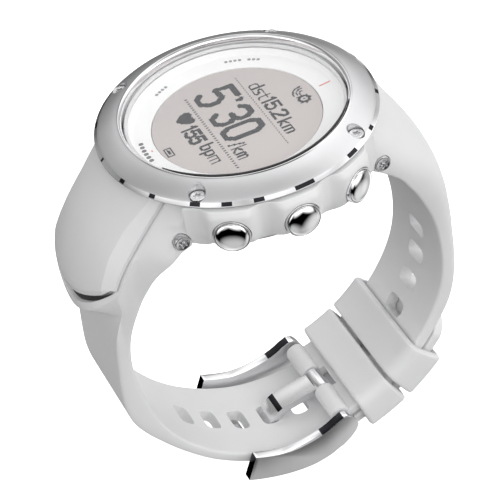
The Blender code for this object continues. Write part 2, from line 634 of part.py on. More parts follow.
def buckle_tang(mat):
    p = loop_point(PIVOT_DEG, PIVOT_R)
    line = [Vector((0, y, z)) for y, z in tang_line()]
    left, right = [], []
    for i, q in enumerate(line):
        d0 = (line[max(i, 1)] - line[max(i, 1) - 1]).normalized()
        d1 = (line[min(i + 1, len(line) - 1)] - line[min(i, len(line) - 2)]).normalized()
        d = (d0 + d1).normalized()
        n = Vector((0, -d.z, d.y)) * TANG_THICK / max(0.5, d.dot(d1))
        left.append(tuple(q)[1:])
        right.append(tuple(q + n)[1:])
    tang = extrude_x("buckle_tang", left + right[::-1], -TANG_HALF, TANG_HALF, mat)
    combine(tang, cylinder("eye", (-TANG_HALF, p[1], p[2]), (TANG_HALF, p[1], p[2]), 1.65, 14, None),
            "UNION")
    combine(tang, cylinder("hole", (-9, p[1], p[2]), (9, p[1], p[2]), BAR_R + GAP, 10, None),
            "DIFFERENCE")
    weld(tang)
    return tang


def keeper(name, centre, span, mat):
    """Rectangular loop around both straps."""
    rings = []
    for k in range(6):
        a = centre - span + 2 * span * k / 5
        soft = 0.45 if k in (0, 5) else 0.0
        h, r0, r1 = KEEPER_HALF - soft, KEEPER_R[0] + soft, KEEPER_R[1] - soft
        outer = [(-h + 1.3, r0), (h - 1.3, r0), (h, r0 + 1.3), (h, r1 - 1.3), (h - 1.3, r1),
                 (-h + 1.3, r1), (-h, r1 - 1.3), (-h, r0 + 1.3)]
        g, q0, q1 = KEEPER_HOLE_HALF, KEEPER_HOLE_R[0], KEEPER_HOLE_R[1]
        inner = [(-g + 0.3, q0), (g - 0.3, q0), (g, q0 + 0.3), (g, q1 - 0.3), (g - 0.3, q1),
                 (-g + 0.3, q1), (-g, q1 - 0.3), (-g, q0 + 0.3)]
        rings.append(([loop_point(a, r, x) for x, r in outer], [loop_point(a, r, x) for x, r in inner]))
    verts, faces, n = [], [], 8
    for outer, inner in rings:
        verts += outer + inner
    for i in range(5):
        for k in range(n):
            m = (k + 1) % n
            a, b = i * 16, (i + 1) * 16
            faces.append((a + k, a + m, b + m, b + k))
            faces.append((a + 8 + k, b + 8 + k, b + 8 + m, a + 8 + m))
    for base in (0, 80):
        for k in range(n):
            m = (k + 1) % n
            faces.append((base + k, base + m, base + 8 + m, base + 8 + k))
    return add(name, verts, faces, mat)


def spring_bar(mat):
    p = loop_point(PIVOT_DEG, PIVOT_R)
    return cylinder("spring_bar", (-12.6, p[1], p[2]), (12.6, p[1], p[2]), BAR_R, 10, mat, 0.2)


def build():
    clear_scene()
    satin = material("satin_steel", (0.62, 0.62, 0.63), 1.0, 0.34)
    polished = material("polished_steel", (0.78, 0.78, 0.79), 1.0, 0.09)
    screw = material("screw_steel", (0.55, 0.55, 0.56), 1.0, 0.25)
    shell = material("white_case_plastic", (0.80, 0.80, 0.81), 0.0, 0.42)
    white = material("white_ring_plastic", (0.85, 0.85, 0.86), 0.0, 0.45)
    strap = material("white_strap_rubber", (0.78, 0.78, 0.79), 0.0, 0.55)
    mats = {
        "glass": material("crystal_glass", (0.95, 0.97, 0.98), 0.0, 0.03, 0.9),
        "gasket": material("pale_gasket", (0.75, 0.75, 0.75), 0.0, 0.6),
        "white": white,
        "lcd": material("display_panel", (0.62, 0.60, 0.58), 0.0, 0.3),
        "guide": material("light_guide_acrylic", (0.85, 0.88, 0.90), 0.0, 0.2),
        "inner": material("chassis_plastic", (0.06, 0.06, 0.07), 0.0, 0.55),
        "board": material("circuit_board", (0.02, 0.16, 0.07), 0.0, 0.4),
        "cell": material("battery_wrap", (0.55, 0.56, 0.58), 0.6, 0.4),
        "brass": material("buzzer_brass", (0.75, 0.58, 0.28), 1.0, 0.3),
        "ceramic": material("antenna_ceramic", (0.70, 0.66, 0.58), 0.0, 0.5),
        "rubber": material("gasket_rubber", (0.03, 0.03, 0.03), 0.0, 0.7),
    }
    case_body(shell)
    case_back(satin)
    bezel(satin)
    display_stack(mats)
    buttons(polished, screw)
    strap_twelve(strap)
    strap_six(strap)
    antenna_cover(shell)
    lug_hardware(screw, mats["brass"])
    small_screws(screw, material("contact_gold", (0.85, 0.65, 0.30), 1.0, 0.25))
    buckle_frame(polished)
    buckle_tang(polished)
    spring_bar(screw)
    for i, (centre, span) in enumerate(zip(KEEPER_CENTRES, KEEPER_SPANS), 1):
        keeper("strap_keeper_%d" % i, centre, span, strap)


build()
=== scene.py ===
"""Looks of the GPS running watch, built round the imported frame. Lengths in mm until a mesh is made."""
import math
import bpy
import bmesh
from mathutils import Matrix, Vector


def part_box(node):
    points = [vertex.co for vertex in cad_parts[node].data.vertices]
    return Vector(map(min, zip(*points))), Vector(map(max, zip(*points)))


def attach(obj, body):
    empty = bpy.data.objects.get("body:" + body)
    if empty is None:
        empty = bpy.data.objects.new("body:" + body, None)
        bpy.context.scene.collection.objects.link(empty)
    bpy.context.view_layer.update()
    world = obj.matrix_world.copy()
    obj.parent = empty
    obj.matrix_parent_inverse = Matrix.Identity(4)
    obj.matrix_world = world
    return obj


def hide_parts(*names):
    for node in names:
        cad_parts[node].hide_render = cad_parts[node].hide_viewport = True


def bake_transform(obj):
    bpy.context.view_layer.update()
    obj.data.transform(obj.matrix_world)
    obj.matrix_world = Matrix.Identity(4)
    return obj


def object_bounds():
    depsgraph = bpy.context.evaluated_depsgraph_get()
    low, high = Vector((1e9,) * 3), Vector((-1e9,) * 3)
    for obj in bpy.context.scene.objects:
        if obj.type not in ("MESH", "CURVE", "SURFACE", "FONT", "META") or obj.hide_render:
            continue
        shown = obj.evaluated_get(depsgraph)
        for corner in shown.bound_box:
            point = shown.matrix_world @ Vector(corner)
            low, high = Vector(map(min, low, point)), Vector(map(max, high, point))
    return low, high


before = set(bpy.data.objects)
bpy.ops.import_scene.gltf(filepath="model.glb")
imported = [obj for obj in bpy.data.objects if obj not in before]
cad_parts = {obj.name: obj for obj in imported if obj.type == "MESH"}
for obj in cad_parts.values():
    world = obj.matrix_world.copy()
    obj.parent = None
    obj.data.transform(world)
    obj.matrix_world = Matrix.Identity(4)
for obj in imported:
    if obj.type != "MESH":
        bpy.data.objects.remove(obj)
cad_lo, cad_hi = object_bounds()
MM = 0.001

# ---- dimensions shared with the frame (mm)
CASE_Z = (1.7, 11.9)
CASE_R_ROOT = 21.8
ROOT_ANGLE = 45.5
ROOT_GAP = 0.12
BUTTON_ANGLES = (-27.1, 0.0, 27.1, 152.9, 207.1)
BUTTON_Z = 7.15
POD_REACH, POD_RISE = 13.2, 1.72        # half width in degrees and swell of a button pod
BEZEL_SCREWS = (39.9, 140.1, 219.9, 320.1)
BEZEL_SCREW_R = 23.0
LUG_Y, LUG_Z = 18.9, 4.8
LOOP = (1.0, -24.0)
PIVOT = (31.2, -80.0)
LCD_R, DIAL_Z, LCD_Z = 14.75, 11.7, 11.55
SLOTS_12 = (-5.5, -17.0, -28.5, -40.0, -59.2)
SLOTS_6 = (229.0, 239.5, 250.0, 260.6, 271.0, 281.0, 291.5, 302.0, 312.5)
KEEPERS = ((-66.55, 6.65), (-51.15, 7.25))

# Strap tables: (angle round the loop in degrees, radius or half width in mm)
S12_IN = ((-80, 30.95), (-50, 30.95), (-41, 30.35), (-24, 30.35), (5, 29.5), (22, 29.2), (40, 30.3),
          (50, 31.6), (68, 32.0))
S12_OUT = ((-80, 32.95), (-36, 32.95), (-24, 33.3), (-10, 33.2), (0, 33.5), (14, 35.1), (24, 36.7),
           (34, 38.0), (48, 40.2), (57, 43.4), (68, 46.5))
S12_HALF = ((-80, 10.5), (0, 10.5), (12, 11.3), (24, 13.0), (36, 15.2), (50, 17.4), (68, 17.4))
S12_CROWN = ((-80, 0.0), (-24, 0.0), (0, 0.9), (20, 2.6), (36, 3.6), (48, 5.0), (57, 7.0), (68, 8.5))
S12_ROUND = ((-80, 0.7), (-24, 0.8), (0, 1.3), (20, 2.6), (40, 3.2), (68, 3.2))
S6_IN = ((112, 30.5), (122, 32.4), (128, 33.4), (134, 33.4), (140, 33.2), (146, 32.5), (156, 31.8),
         (168, 31.5), (190, 31.4), (215, 32.6), (237, 33.3), (262, 33.9), (276, 33.8), (292, 33.25),
         (328, 33.25))
S6_FLAT = ((140, 35.4), (150, 35.0), (160, 34.6), (170, 34.2), (178, 34.0), (186, 34.5), (194, 35.4),
           (201, 35.9), (208, 35.6), (215, 35.2), (223, 35.1), (237, 35.5), (262, 36.2), (276, 36.1),
           (292, 35.55), (328, 35.5))
S6_HALF = ((112, 17.4), (130, 17.4), (139, 15.6), (150, 13.3), (156, 12.5), (161, 11.8), (166, 11.2),
           (172, 10.8), (185, 10.5), (321, 10.5), (325.5, 8.6), (328, 5.0))
S6_CREASE = ((112, 17.0), (121, 16.6), (123, 15.6), (125.4, 13.9), (128, 13.2), (134, 12.9), (141, 13.1),
             (147, 13.0), (151, 12.5), (158, 12.0), (163, 11.4), (168, 10.5), (172, 10.1), (185, 9.7),
             (321, 9.7), (325.5, 7.8), (328, 4.2))
HUMP_OUT = ((112, 45.0), (124, 41.8), (133, 40.5), (143, 40.0), (153, 39.5), (158, 38.9), (163, 37.7),
            (170, 36.3))
HUMP_CROWN = ((112, 6.5), (124, 5.2), (133, 4.5), (143, 3.3), (153, 2.6), (163, 1.8), (170, 1.4))
TRAY_END = 163.3        # middle of the tray lip, degrees round the loop
COVER_END = 157.3       # middle of the cover's lower edge
COVER_HALF = 12.6
LIP_RISE = 1.05         # how far the tray lip stands above the surface under the cover


# ---- materials
def feed(nt, node, inputs):
    """Fill a node's inputs, each with a value or with the socket that drives it."""
    for key, given in inputs.items():
        if isinstance(given, bpy.types.NodeSocket):
            nt.links.new(given, node.inputs[key])
        else:
            node.inputs[key].default_value = given


def add(nt, kind, inputs):
    node = nt.nodes.new(kind)
    feed(nt, node, inputs)
    return node


def tree(name):
    """New material with its node tree and its Principled BSDF."""
    mat = bpy.data.materials.new(name)
    mat.use_nodes = True
    nt = mat.node_tree
    return mat, nt, nt.nodes["Principled BSDF"]


def mapped(nt, scale=(1, 1, 1)):
    """Object coordinates, stretched."""
    coord = nt.nodes.new("ShaderNodeTexCoord")
    mapping = add(nt, "ShaderNodeMapping", {"Scale": scale, "Vector": coord.outputs["Object"]})
    return mapping.outputs["Vector"]


def noise(nt, vector, scale, detail=2.0, rough=0.5):
    given = {"Scale": scale, "Detail": detail, "Roughness": rough, "Vector": vector}
    return add(nt, "ShaderNodeTexNoise", given).outputs["Fac"]


def spread(nt, value, rough, vary):
    """Turn the middle of a 0..1 signal into a roughness that varies about its mean."""
    given = {"From Min": 0.3, "From Max": 0.7, "To Min": max(0.02, rough - vary), "To Max": rough + vary,
             "Value": value}
    return add(nt, "ShaderNodeMapRange", given).outputs["Result"]


def tint(nt, value, colours, start=0.3, stop=0.7):
    """Turn a 0..1 signal into a colour between two."""
    ramp = add(nt, "ShaderNodeValToRGB", {"Fac": value})
    for element, colour, position in zip(ramp.color_ramp.elements, colours, (start, stop)):
        element.position = position
        element.color = (*colour, 1)
    return ramp.outputs["Color"]


def dimmed(colour, share):
    return [c * share for c in colour], colour


def bump(nt, bsdf, height, strength, distance):
    given = {"Strength": strength, "Distance": distance, "Height": height}
    feed(nt, bsdf, {"Normal": add(nt, "ShaderNodeBump", given).outputs["Normal"]})


def metal(name, colour, rough, grain=0.0, grain_scale=9000.0, stretch=(1, 1, 1), vary=0.04):
    """Metal with a fine grain and slow changes of tone."""
    mat, nt, b = tree(name)
    v = mapped(nt, stretch)
    fine = noise(nt, v, grain_scale, 3.0, 0.6)
    cloud = noise(nt, v, 220.0, 3.0, 0.55)
    feed(nt, b, {"Metallic": 1.0, "Base Color": tint(nt, cloud, dimmed(colour, 0.96)),
                 "Roughness": spread(nt, fine, rough, vary)})
    if grain:
        bump(nt, b, fine, grain, 0.00002)
    return mat


def moulded(name, colour, rough, grain, grain_scale, subsurface=0.0, sheen=0.0):
    """Moulded plastic or rubber with a fine skin and a little light inside it."""
    mat, nt, b = tree(name)
    v = mapped(nt)
    fine = noise(nt, v, grain_scale, 2.0, 0.5)
    cloud = noise(nt, v, 90.0, 3.0, 0.5)
    feed(nt, b, {"Base Color": tint(nt, cloud, dimmed(colour, 0.97)),
                 "Roughness": spread(nt, fine, rough, 0.05),
                 "Subsurface Weight": subsurface, "Subsurface Radius": (0.002, 0.002, 0.002),
                 "Subsurface Scale": 0.5, "Sheen Weight": sheen, "Sheen Roughness": 0.4})
    bump(nt, b, fine, grain, 0.00003)
    return mat


def plain(name, colour, rough, metallic=0.0, alpha=1.0, vary=0.03):
    """Smooth surface with slow changes of tone."""
    mat, nt, b = tree(name)
    cloud = noise(nt, mapped(nt), 600.0, 2.0)
    feed(nt, b, {"Base Color": tint(nt, cloud, dimmed(colour, 0.94)),
                 "Roughness": spread(nt, cloud, rough, vary), "Metallic": metallic, "Alpha": alpha})
    return mat


def scaled(nt, value, factor, offset):
    """value * factor + offset"""
    node = add(nt, "ShaderNodeMath", {0: value, 1: factor, 2: offset})
    node.operation = "MULTIPLY_ADD"
    return node.outputs[0]


def display_glass_material():
    """Reflective display: warm grey with a faint pixel grid, a painted shade that darkens it towards -x,
    and a slow random change of tone.
    """
    mat, nt, b = tree("lcd_panel")
    v = mapped(nt)
    place = add(nt, "ShaderNodeSeparateXYZ", {"Vector": v})
    # painted shade: the display's colour darkens towards -x
    painted_shade_across = scaled(nt, place.outputs["X"], -14.0, 0.42)
    total = scaled(nt, noise(nt, v, 40.0, 2.0), 0.25, painted_shade_across)
    grid = add(nt, "ShaderNodeTexBrick", {"Scale": 1.0, "Brick Width": PIXEL * MM, "Row Height": PIXEL * MM,
                                          "Mortar Size": 0.00001, "Vector": v})
    grid.offset = 0.0
    bump(nt, b, grid.outputs["Fac"], 0.15, 0.00001)
    feed(nt, b, {"Base Color": tint(nt, total, (LCD_LIT, LCD_PAINTED_SHADE), 0.25, 0.85), "Roughness": 0.38})
    return mat


CELLS = 128             # cells across the display
PIXEL = 2 * LCD_R / CELLS
# lit tone of the display, and a darker copy of it for the painted shade
LCD_LIT = (0.66, 0.605, 0.59)
LCD_PAINTED_SHADE = (0.50, 0.46, 0.455)

M = {
    "satin": metal("satin_blasted_steel", (0.80, 0.80, 0.81), 0.36, 0.35, 14000.0),
    "polish": metal("polished_edge", (0.93, 0.93, 0.94), 0.07, vary=0.03),
    # painted dark reflections on polished steel: bezel edges, buckle rail facets and a tang face
    "painted_dark_reflection": metal("polished_steel_painted_dark_reflection", (0.035, 0.035, 0.04), 0.12, vary=0.04),
    "dome": metal("polished_dome", (0.90, 0.90, 0.91), 0.06, vary=0.02),
    "screw": metal("turned_screw_steel", (0.72, 0.72, 0.73), 0.24, 0.25, 6000.0),
    "brushed": metal("brushed_back_steel", (0.72, 0.72, 0.73), 0.30, 0.5, 2500.0, (1, 30, 1)),
    "tang": metal("tang_steel", (0.86, 0.86, 0.87), 0.22, 0.10, 9000.0),
    "buckle_side": metal("buckle_satin", (0.78, 0.78, 0.79), 0.34, 0.30, 9000.0),
    "shell": moulded("white_case_moulding", (0.86, 0.86, 0.865), 0.42, 0.20, 7000.0, 0.08),
    # antenna panel top: a darker copy of the white case moulding, painted shade
    "panel": moulded("antenna_panel_painted_shade", (0.80, 0.80, 0.805), 0.40, 0.20, 7000.0, 0.05),
    "rubber": moulded("white_strap_rubber", (0.84, 0.84, 0.845), 0.55, 0.35, 5200.0, 0.10, 0.15),
    "dial": moulded("white_dial_ring", (1.0, 1.0, 1.0), 0.45, 0.05, 5000.0),
    "ink": plain("lcd_ink", (0.020, 0.021, 0.026), 0.5),
    "print": plain("ring_print_grey", (0.34, 0.34, 0.35), 0.5),
    "print_dark": plain("ring_print_dark", (0.18, 0.18, 0.19), 0.5),
    "print_red": plain("ring_print_red", (0.80, 0.30, 0.26), 0.5),
    "gasket": plain("pale_gasket_rubber", (0.80, 0.80, 0.80), 0.6),
    # black rubber for the hidden back gasket, and painted shadow strips at the crystal edge and under the
    # antenna cover
    "dark_gasket_and_painted_shadow": plain("seal_rubber_and_painted_shadow", (0.03, 0.03, 0.03), 0.6),
    "glass": plain("crystal_clear", (0.95, 0.97, 0.98), 0.03, alpha=0.05, vary=0.01),
    "guide": plain("light_guide_acrylic", (0.82, 0.86, 0.90), 0.15),
    "inner": moulded("black_chassis", (0.05, 0.05, 0.055), 0.5, 0.3, 4000.0),
    "board": plain("board_solder_mask", (0.02, 0.16, 0.07), 0.35),
    "cell": plain("battery_foil", (0.55, 0.56, 0.58), 0.35, 0.7),
    "brass": metal("turned_brass", (0.80, 0.60, 0.30), 0.28, 0.2, 5000.0),
    "gold": metal("gold_contact", (0.90, 0.68, 0.30), 0.2, 0.1, 5000.0),
    "ceramic": moulded("antenna_ceramic", (0.72, 0.67, 0.58), 0.5, 0.4, 3000.0),
    "lcd": display_glass_material(),
}


# ---- mesh helpers
def smooth(table, x):
    """Value at x of the smooth curve through the (x, y) table, with no overshoot."""
    xs = [p[0] for p in table]
    ys = [p[1] for p in table]
    if x <= xs[0]:
        return ys[0]
    if x >= xs[-1]:
        return ys[-1]
    k = max(i for i in range(len(xs) - 1) if xs[i] <= x)
    slopes = [(ys[i + 1] - ys[i]) / (xs[i + 1] - xs[i]) for i in range(len(xs) - 1)]

    def tangent(i):
        if i == 0 or i == len(xs) - 1:
            return 0.0
        a, b = slopes[i - 1], slopes[i]
        return 0.0 if a * b <= 0 else 2 * a * b / (a + b)

    h = xs[k + 1] - xs[k]
    t = (x - xs[k]) / h
    m0, m1 = tangent(k) * h, tangent(k + 1) * h
    return ((2 * t ** 3 - 3 * t ** 2 + 1) * ys[k] + (t ** 3 - 2 * t ** 2 + t) * m0
            + (-2 * t ** 3 + 3 * t ** 2) * ys[k + 1] + (t ** 3 - t ** 2) * m1)


def mesh_object(name, verts, faces, mats=(), face_mats=None, sharp=35.0):
    me = bpy.data.meshes.new(name)
    me.from_pydata([(v[0] * MM, v[1] * MM, v[2] * MM) for v in verts], [], faces)
    for m in mats:
        me.materials.append(m)
    if face_mats:
        for poly, k in zip(me.polygons, face_mats):
            poly.material_index = k
    bm = bmesh.new()
    bm.from_mesh(me)
    bmesh.ops.recalc_face_normals(bm, faces=bm.faces)
    bm.to_mesh(me)
    bm.free()
    ob = bpy.data.objects.new(name, me)
    bpy.context.scene.collection.objects.link(ob)
    if sharp:
        shade(ob, sharp)
    return ob


def shade(ob, angle):
    """Smooth shading, with edges sharper than the angle kept hard."""
    me = ob.data
    me.polygons.foreach_set("use_smooth", [True] * len(me.polygons))
    me.set_sharp_from_angle(angle=math.radians(angle))
    me.update()


def loft(name, rings, mats=(), closed=False, row_mats=None, sharp=35.0):
    """Skin over rings of points; row_mats gives a material index per ring point."""
    n, count = len(rings[0]), len(rings)
    verts = [p for ring in rings for p in ring]
    faces, fm = [], []
    for i in range(count if closed else count - 1):
        j = (i + 1) % count
        for k in range(n):
            m = (k + 1) % n
            faces.append((i * n + k, i * n + m, j * n + m, j * n + k))
            fm.append(row_mats[k] if row_mats else 0)
    if not closed:
        faces.append(tuple(range(n))[::-1])
        faces.append(tuple((count - 1) * n + k for k in range(n)))
        fm += [0, 0]
    return mesh_object(name, verts, faces, mats, fm, sharp)


def turned(name, profile, segments, mats=(), rows=None, place=None, sharp=35.0):
    """Revolve (radius, height) points; rows gives a material index per profile span."""
    verts, ids = [], []
    for r, z in profile:
        if r < 1e-6:
            ids.append([len(verts)] * segments)
            verts.append((0.0, 0.0, z))
        else:
            ids.append(list(range(len(verts), len(verts) + segments)))
            for i in range(segments):
                a = 2 * math.pi * i / segments
                verts.append((r * math.cos(a), r * math.sin(a), z))
    faces, fm = [], []
    loop = profile[0][0] > 1e-6 and profile[-1][0] > 1e-6
    count = len(ids)
    for i in range(count if loop else count - 1):
        a, b = ids[i], ids[(i + 1) % count]
        for k in range(segments):
            m = (k + 1) % segments
            quad = [a[k], a[m], b[m], b[k]]
            face = [v for q, v in enumerate(quad) if v not in quad[:q]]
            if len(face) > 2:
                faces.append(face)
                fm.append(rows[i] if rows else 0)
    if place:
        verts = [tuple(place(v)) for v in verts]
    return mesh_object(name, verts, faces, mats, fm, sharp)


def rounded(points, radii, count=5):
    """Round the corners of a closed (a, b) outline; radii has one value per point."""
    out = []
    n = len(points)
    for i, (p, r) in enumerate(zip(points, radii)):
        if r <= 0:
            out.append(p)
            continue
        a = Vector(points[i - 1]) - Vector(p)
        b = Vector(points[(i + 1) % n]) - Vector(p)
        la, lb = a.length, b.length
        a, b = a / la, b / lb
        cosang = max(-0.999, min(0.999, a.dot(b)))
        half = math.acos(cosang) / 2
        cut = min(r / math.tan(half), la * 0.48, lb * 0.48)
        start, end = Vector(p) + a * cut, Vector(p) + b * cut
        for k in range(count + 1):
            t = k / count
            q = start * (1 - t) ** 2 + Vector(p) * 2 * t * (1 - t) + end * t ** 2
            out.append((q.x, q.y))
    return out


def applied(ob):
    """Bake the object's modifiers into its mesh."""
    graph = bpy.context.evaluated_depsgraph_get()
    mesh = bpy.data.meshes.new_from_object(ob.evaluated_get(graph))
    ob.modifiers.clear()
    ob.data = mesh


def cut(target, tool, operation="DIFFERENCE"):
    """Boolean that uses up its tool."""
    mod = target.modifiers.new("cut", "BOOLEAN")
    mod.operation = operation
    mod.solver = "EXACT"
    mod.object = tool
    applied(target)
    bpy.data.objects.remove(tool, do_unlink=True)


def square_to(axis):
    """Two directions square to an axis and to each other."""
    helper = Vector((0, 0, 1)) if abs(axis.z) < 0.9 else Vector((1, 0, 0))
    u = axis.cross(helper).normalized()
    return u, axis.cross(u)


def rod(name, start, end, radius, segments, mats=(), edge=0.0, sharp=35.0):
    """Round bar between two points, with an optional rounded edge."""
    p, q = Vector(start), Vector(end)
    axis = (q - p).normalized()
    u, v = square_to(axis)
    length = (q - p).length
    stops = [(0.0, radius), (length, radius)]
    if edge:
        inset = edge * 0.3
        stops = [(0.0, radius - edge), (inset, radius - inset), (edge, radius),
                 (length - edge, radius), (length - inset, radius - inset), (length, radius - edge)]
    rings = []
    for d, r in stops:
        spots = [polar(r, 360 * i / segments) for i in range(segments)]
        rings.append([tuple(p + axis * d + u * a + v * b) for a, b in spots])
    return loft(name, rings, mats, sharp=sharp)


def bore(start, end, radius, segments=24, mats=()):
    """Rod used as a cutting tool."""
    return rod("bore", start, end, radius, segments, mats, sharp=None)


def box(lo, hi):
    (x0, y0, z0), (x1, y1, z1) = lo, hi
    corners = ((x0, y0), (x1, y0), (x1, y1), (x0, y1))
    return loft("box", [[(x, y, z) for x, y in corners] for z in (z0, z1)], sharp=None)


def prism_x(name, outline, ends, mats=(), row_mats=None):
    """Prism along x between two ends, with a (y, z) outline."""
    rings = [[(x, y, z) for y, z in outline] for x in ends]
    return loft(name, rings, mats, row_mats=row_mats, sharp=None)


def side_faces(ob, index):
    """Give the faces that look along x their own material."""
    for poly in ob.data.polygons:
        if abs(poly.normal.x) > 0.9:
            poly.material_index = index


def polar(r, angle):
    a = math.radians(angle)
    return r * math.cos(a), r * math.sin(a)


def on_loop(angle, r, x=0.0):
    """Point at an angle and radius round the strap loop."""
    a = math.radians(angle)
    return (x, LOOP[0] + r * math.cos(a), LOOP[1] + r * math.sin(a))


def moved(x, y):
    return lambda v: Vector((v[0] + x, v[1] + y, v[2]))


def radial(angle, height=0.0):
    """Placing function that points a turned piece outwards from the case."""
    a = math.radians(angle)
    out, side = Vector((math.cos(a), math.sin(a), 0)), Vector((-math.sin(a), math.cos(a), 0))
    return lambda v: out * v[2] + side * v[0] + Vector((0, 0, v[1] + height))


def node_centre(node):
    lo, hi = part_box(node)
    return (lo[0] + hi[0]) * 500, (lo[1] + hi[1]) * 500


def steps(a, b, step):
    n = max(1, round(abs(b - a) / step))
    return [a + (b - a) * i / n for i in range(n + 1)]


def ease(a, b, x):
    t = max(0.0, min(1.0, (x - a) / (b - a)))
    return t * t * (3 - 2 * t)


def shown(ob, body, *nodes, slot=None):
    """Put a finished piece on its body in place of its CAD nodes."""
    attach(ob, body)
    if nodes:
        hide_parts(*nodes)
    return ob


# ---- case and bezel
def pod_rise(angle, z):
    """How far the button pods swell out of the case side."""
    rise = 0.0
    for b in BUTTON_ANGLES:
        off = abs((angle - b + 180.0) % 360.0 - 180.0) / POD_REACH
        if off < 1.0:
            s = min(1.0, (1.0 - off) * 1.75)
            rise = max(rise, s ** 3 * (s * (6 * s - 15) + 10))
    lift = smooth(((1.7, 0.20), (4.4, 0.85), (6.2, 1.0), (10.6, 1.0), (11.9, 0.62)), z)
    return POD_RISE * rise * lift


def from_x(angle):
    """Angle to the nearer end of the x axis."""
    folded = (angle + 360.0) % 180.0
    return min(folded, 180.0 - folded)


def side_radius(angle, z):
    """Outer radius of the case, which runs out straight towards the strap roots."""
    base = smooth(((1.7, 20.4), (2.6, 21.9), (4.4, 23.4), (7.0, 24.3), (10.0, 24.6), (11.9, 24.6)), z)
    folded = from_x(angle)
    line = 17.45 / max(0.3, math.cos(math.radians(folded)))
    k = 0.45
    if folded > 30 and z > 2.0:
        blend = math.log(math.exp(base / k) + math.exp(min(line, base + 1.0) / k)) * k
        fade = min(1.0, (folded - 30) / 9.0)
        base += (blend - base) * fade
    return base + pod_rise(angle, z)


def case_shell():
    """White shell with its button pods, bores and lug blocks."""
    bottom, top = CASE_Z
    angles, a = [], -90.0
    while a < 270.0 - 1e-6:
        angles.append(a)
        a += 1.0 if from_x(a) < ROOT_ANGLE else 1.5
    for e in (ROOT_ANGLE, -ROOT_ANGLE, 180 - ROOT_ANGLE, 180 + ROOT_ANGLE):
        for d in (-0.02, 0.02):
            angles.append((e + d + 90.0) % 360.0 - 90.0)
    angles = sorted(set(round(x, 3) for x in angles))
    heights = [bottom, 1.85, 2.1] + [2.4 + 9.3 * i / 22 for i in range(23)] + [11.84, top]
    rings = []
    for a in angles:
        root = abs((a + 360.0) % 180.0 - 90.0) < 90.0 - ROOT_ANGLE
        section = []
        for z in heights:
            r = CASE_R_ROOT if root else side_radius(a, z)
            if z < 2.1:
                r = min(r, side_radius(a, 2.1) - (2.1 - z) * 1.4)
            if z > 11.8:
                r -= (z - 11.8) * 1.2
            section.append((r, z))
        section += [(19.6, top), (19.6, 3.2), (17.3, 3.2), (17.3, bottom)]
        rings.append([(*polar(r, a), z) for r, z in section])
    body = loft("case_shell", rings, (M["shell"],), closed=True, sharp=None)
    pocket = ((0, 18.5), (1.1, 18.5), (1.1, 22.6), (3.32, 22.6), (3.32, 25.6), (3.55, 29.0), (0, 29.0))
    for a in BUTTON_ANGLES:
        cut(body, turned("bore", pocket, 48, place=radial(a, BUTTON_Z), sharp=None))
    for sign in (1, -1):
        y0, y1 = sorted((sign * 20.3, sign * 21.6))
        cut(body, box((-12.2, y0, 2.4), (12.2, y1, 6.0)), "UNION")
        for side in (1, -1):
            cut(body, bore((side * 10.4, sign * LUG_Y, LUG_Z), (side * 20, sign * LUG_Y, LUG_Z), 1.6))
    shade(body, 32)
    return shown(body, "watch", "case_body", slot="white_case_plastic")


# Painted dark reflections on the lower polished edge of the bezel: middle and half width in degrees
PAINTED_REFLECTION_DASHES = ((-93.5, 1.3), (-76.0, 1.2), (-59.0, 2.0), (-40.5, 2.2), (-27.0, 2.3), (-14.5, 1.7), (4.5, 3.8),
          (29.5, 3.4), (46.5, 1.6), (70.0, 1.5), (98.0, 2.5), (121.0, 1.5), (146.0, 3.0), (170.0, 1.5),
          (-164.0, 2.5), (-140.0, 1.5), (-118.0, 2.0))


def bezel():
    """Satin slope between two polished edges, with painted dark reflections in dashes along them."""
    profile = [(19.84, 12.2), (24.2, 12.2), (24.75, 12.28), (25.0, 12.5), (25.0, 12.56), (24.93, 12.62),
               (24.42, 13.06), (24.36, 13.12), (23.9, 13.42), (23.2, 13.86), (22.4, 14.31), (21.6, 14.70),
               (21.0, 14.95), (20.62, 15.09), (20.56, 15.115), (20.42, 15.24), (20.36, 15.27),
               (20.30, 15.27), (20.24, 15.24), (19.88, 14.92), (19.84, 14.84)]
    satin, polish, painted_dark_reflection = 0, 1, 2
    rows = [satin] * 3 + [polish] * 4 + [satin] * 7 + [polish] * 7
    ring = turned("bezel_ring", profile, 256, (M["satin"], M["polish"], M["painted_dark_reflection"]), rows, sharp=None)
    seat = ((0, 11), (0.95, 11), (0.95, 12.7), (1.5, 12.7), (1.5, 17), (0, 17))
    for a in BEZEL_SCREWS:
        place = moved(*polar(BEZEL_SCREW_R, a))
        cut(ring, turned("seat", seat, 40, (M["satin"],), None, place, None))
        cut(ring, bore((*polar(23.2, a), 14.75), (*polar(21.2, a), 16.6), 1.2, 32, (M["satin"],)))
    # Polished faces in the listed dashes on the lower chamfer, and along the inner edge on the right side,
    # take painted dark reflections.
    for poly in ring.data.polygons:
        x, y, z = poly.center / MM
        at = math.degrees(math.atan2(y, x))
        on_chamfer = 12.62 < z < 13.2 and any(abs((at - c + 180) % 360 - 180) < w for c, w in PAINTED_REFLECTION_DASHES)
        on_inner_edge = 13.2 <= z < 15.25 and math.hypot(x, y) < 20.3 and abs(at) < 58
        if poly.material_index == polish and (on_chamfer or on_inner_edge):
            poly.material_index = painted_dark_reflection
    shade(ring, 28)
    return shown(ring, "watch", "bezel", slot="satin_steel")


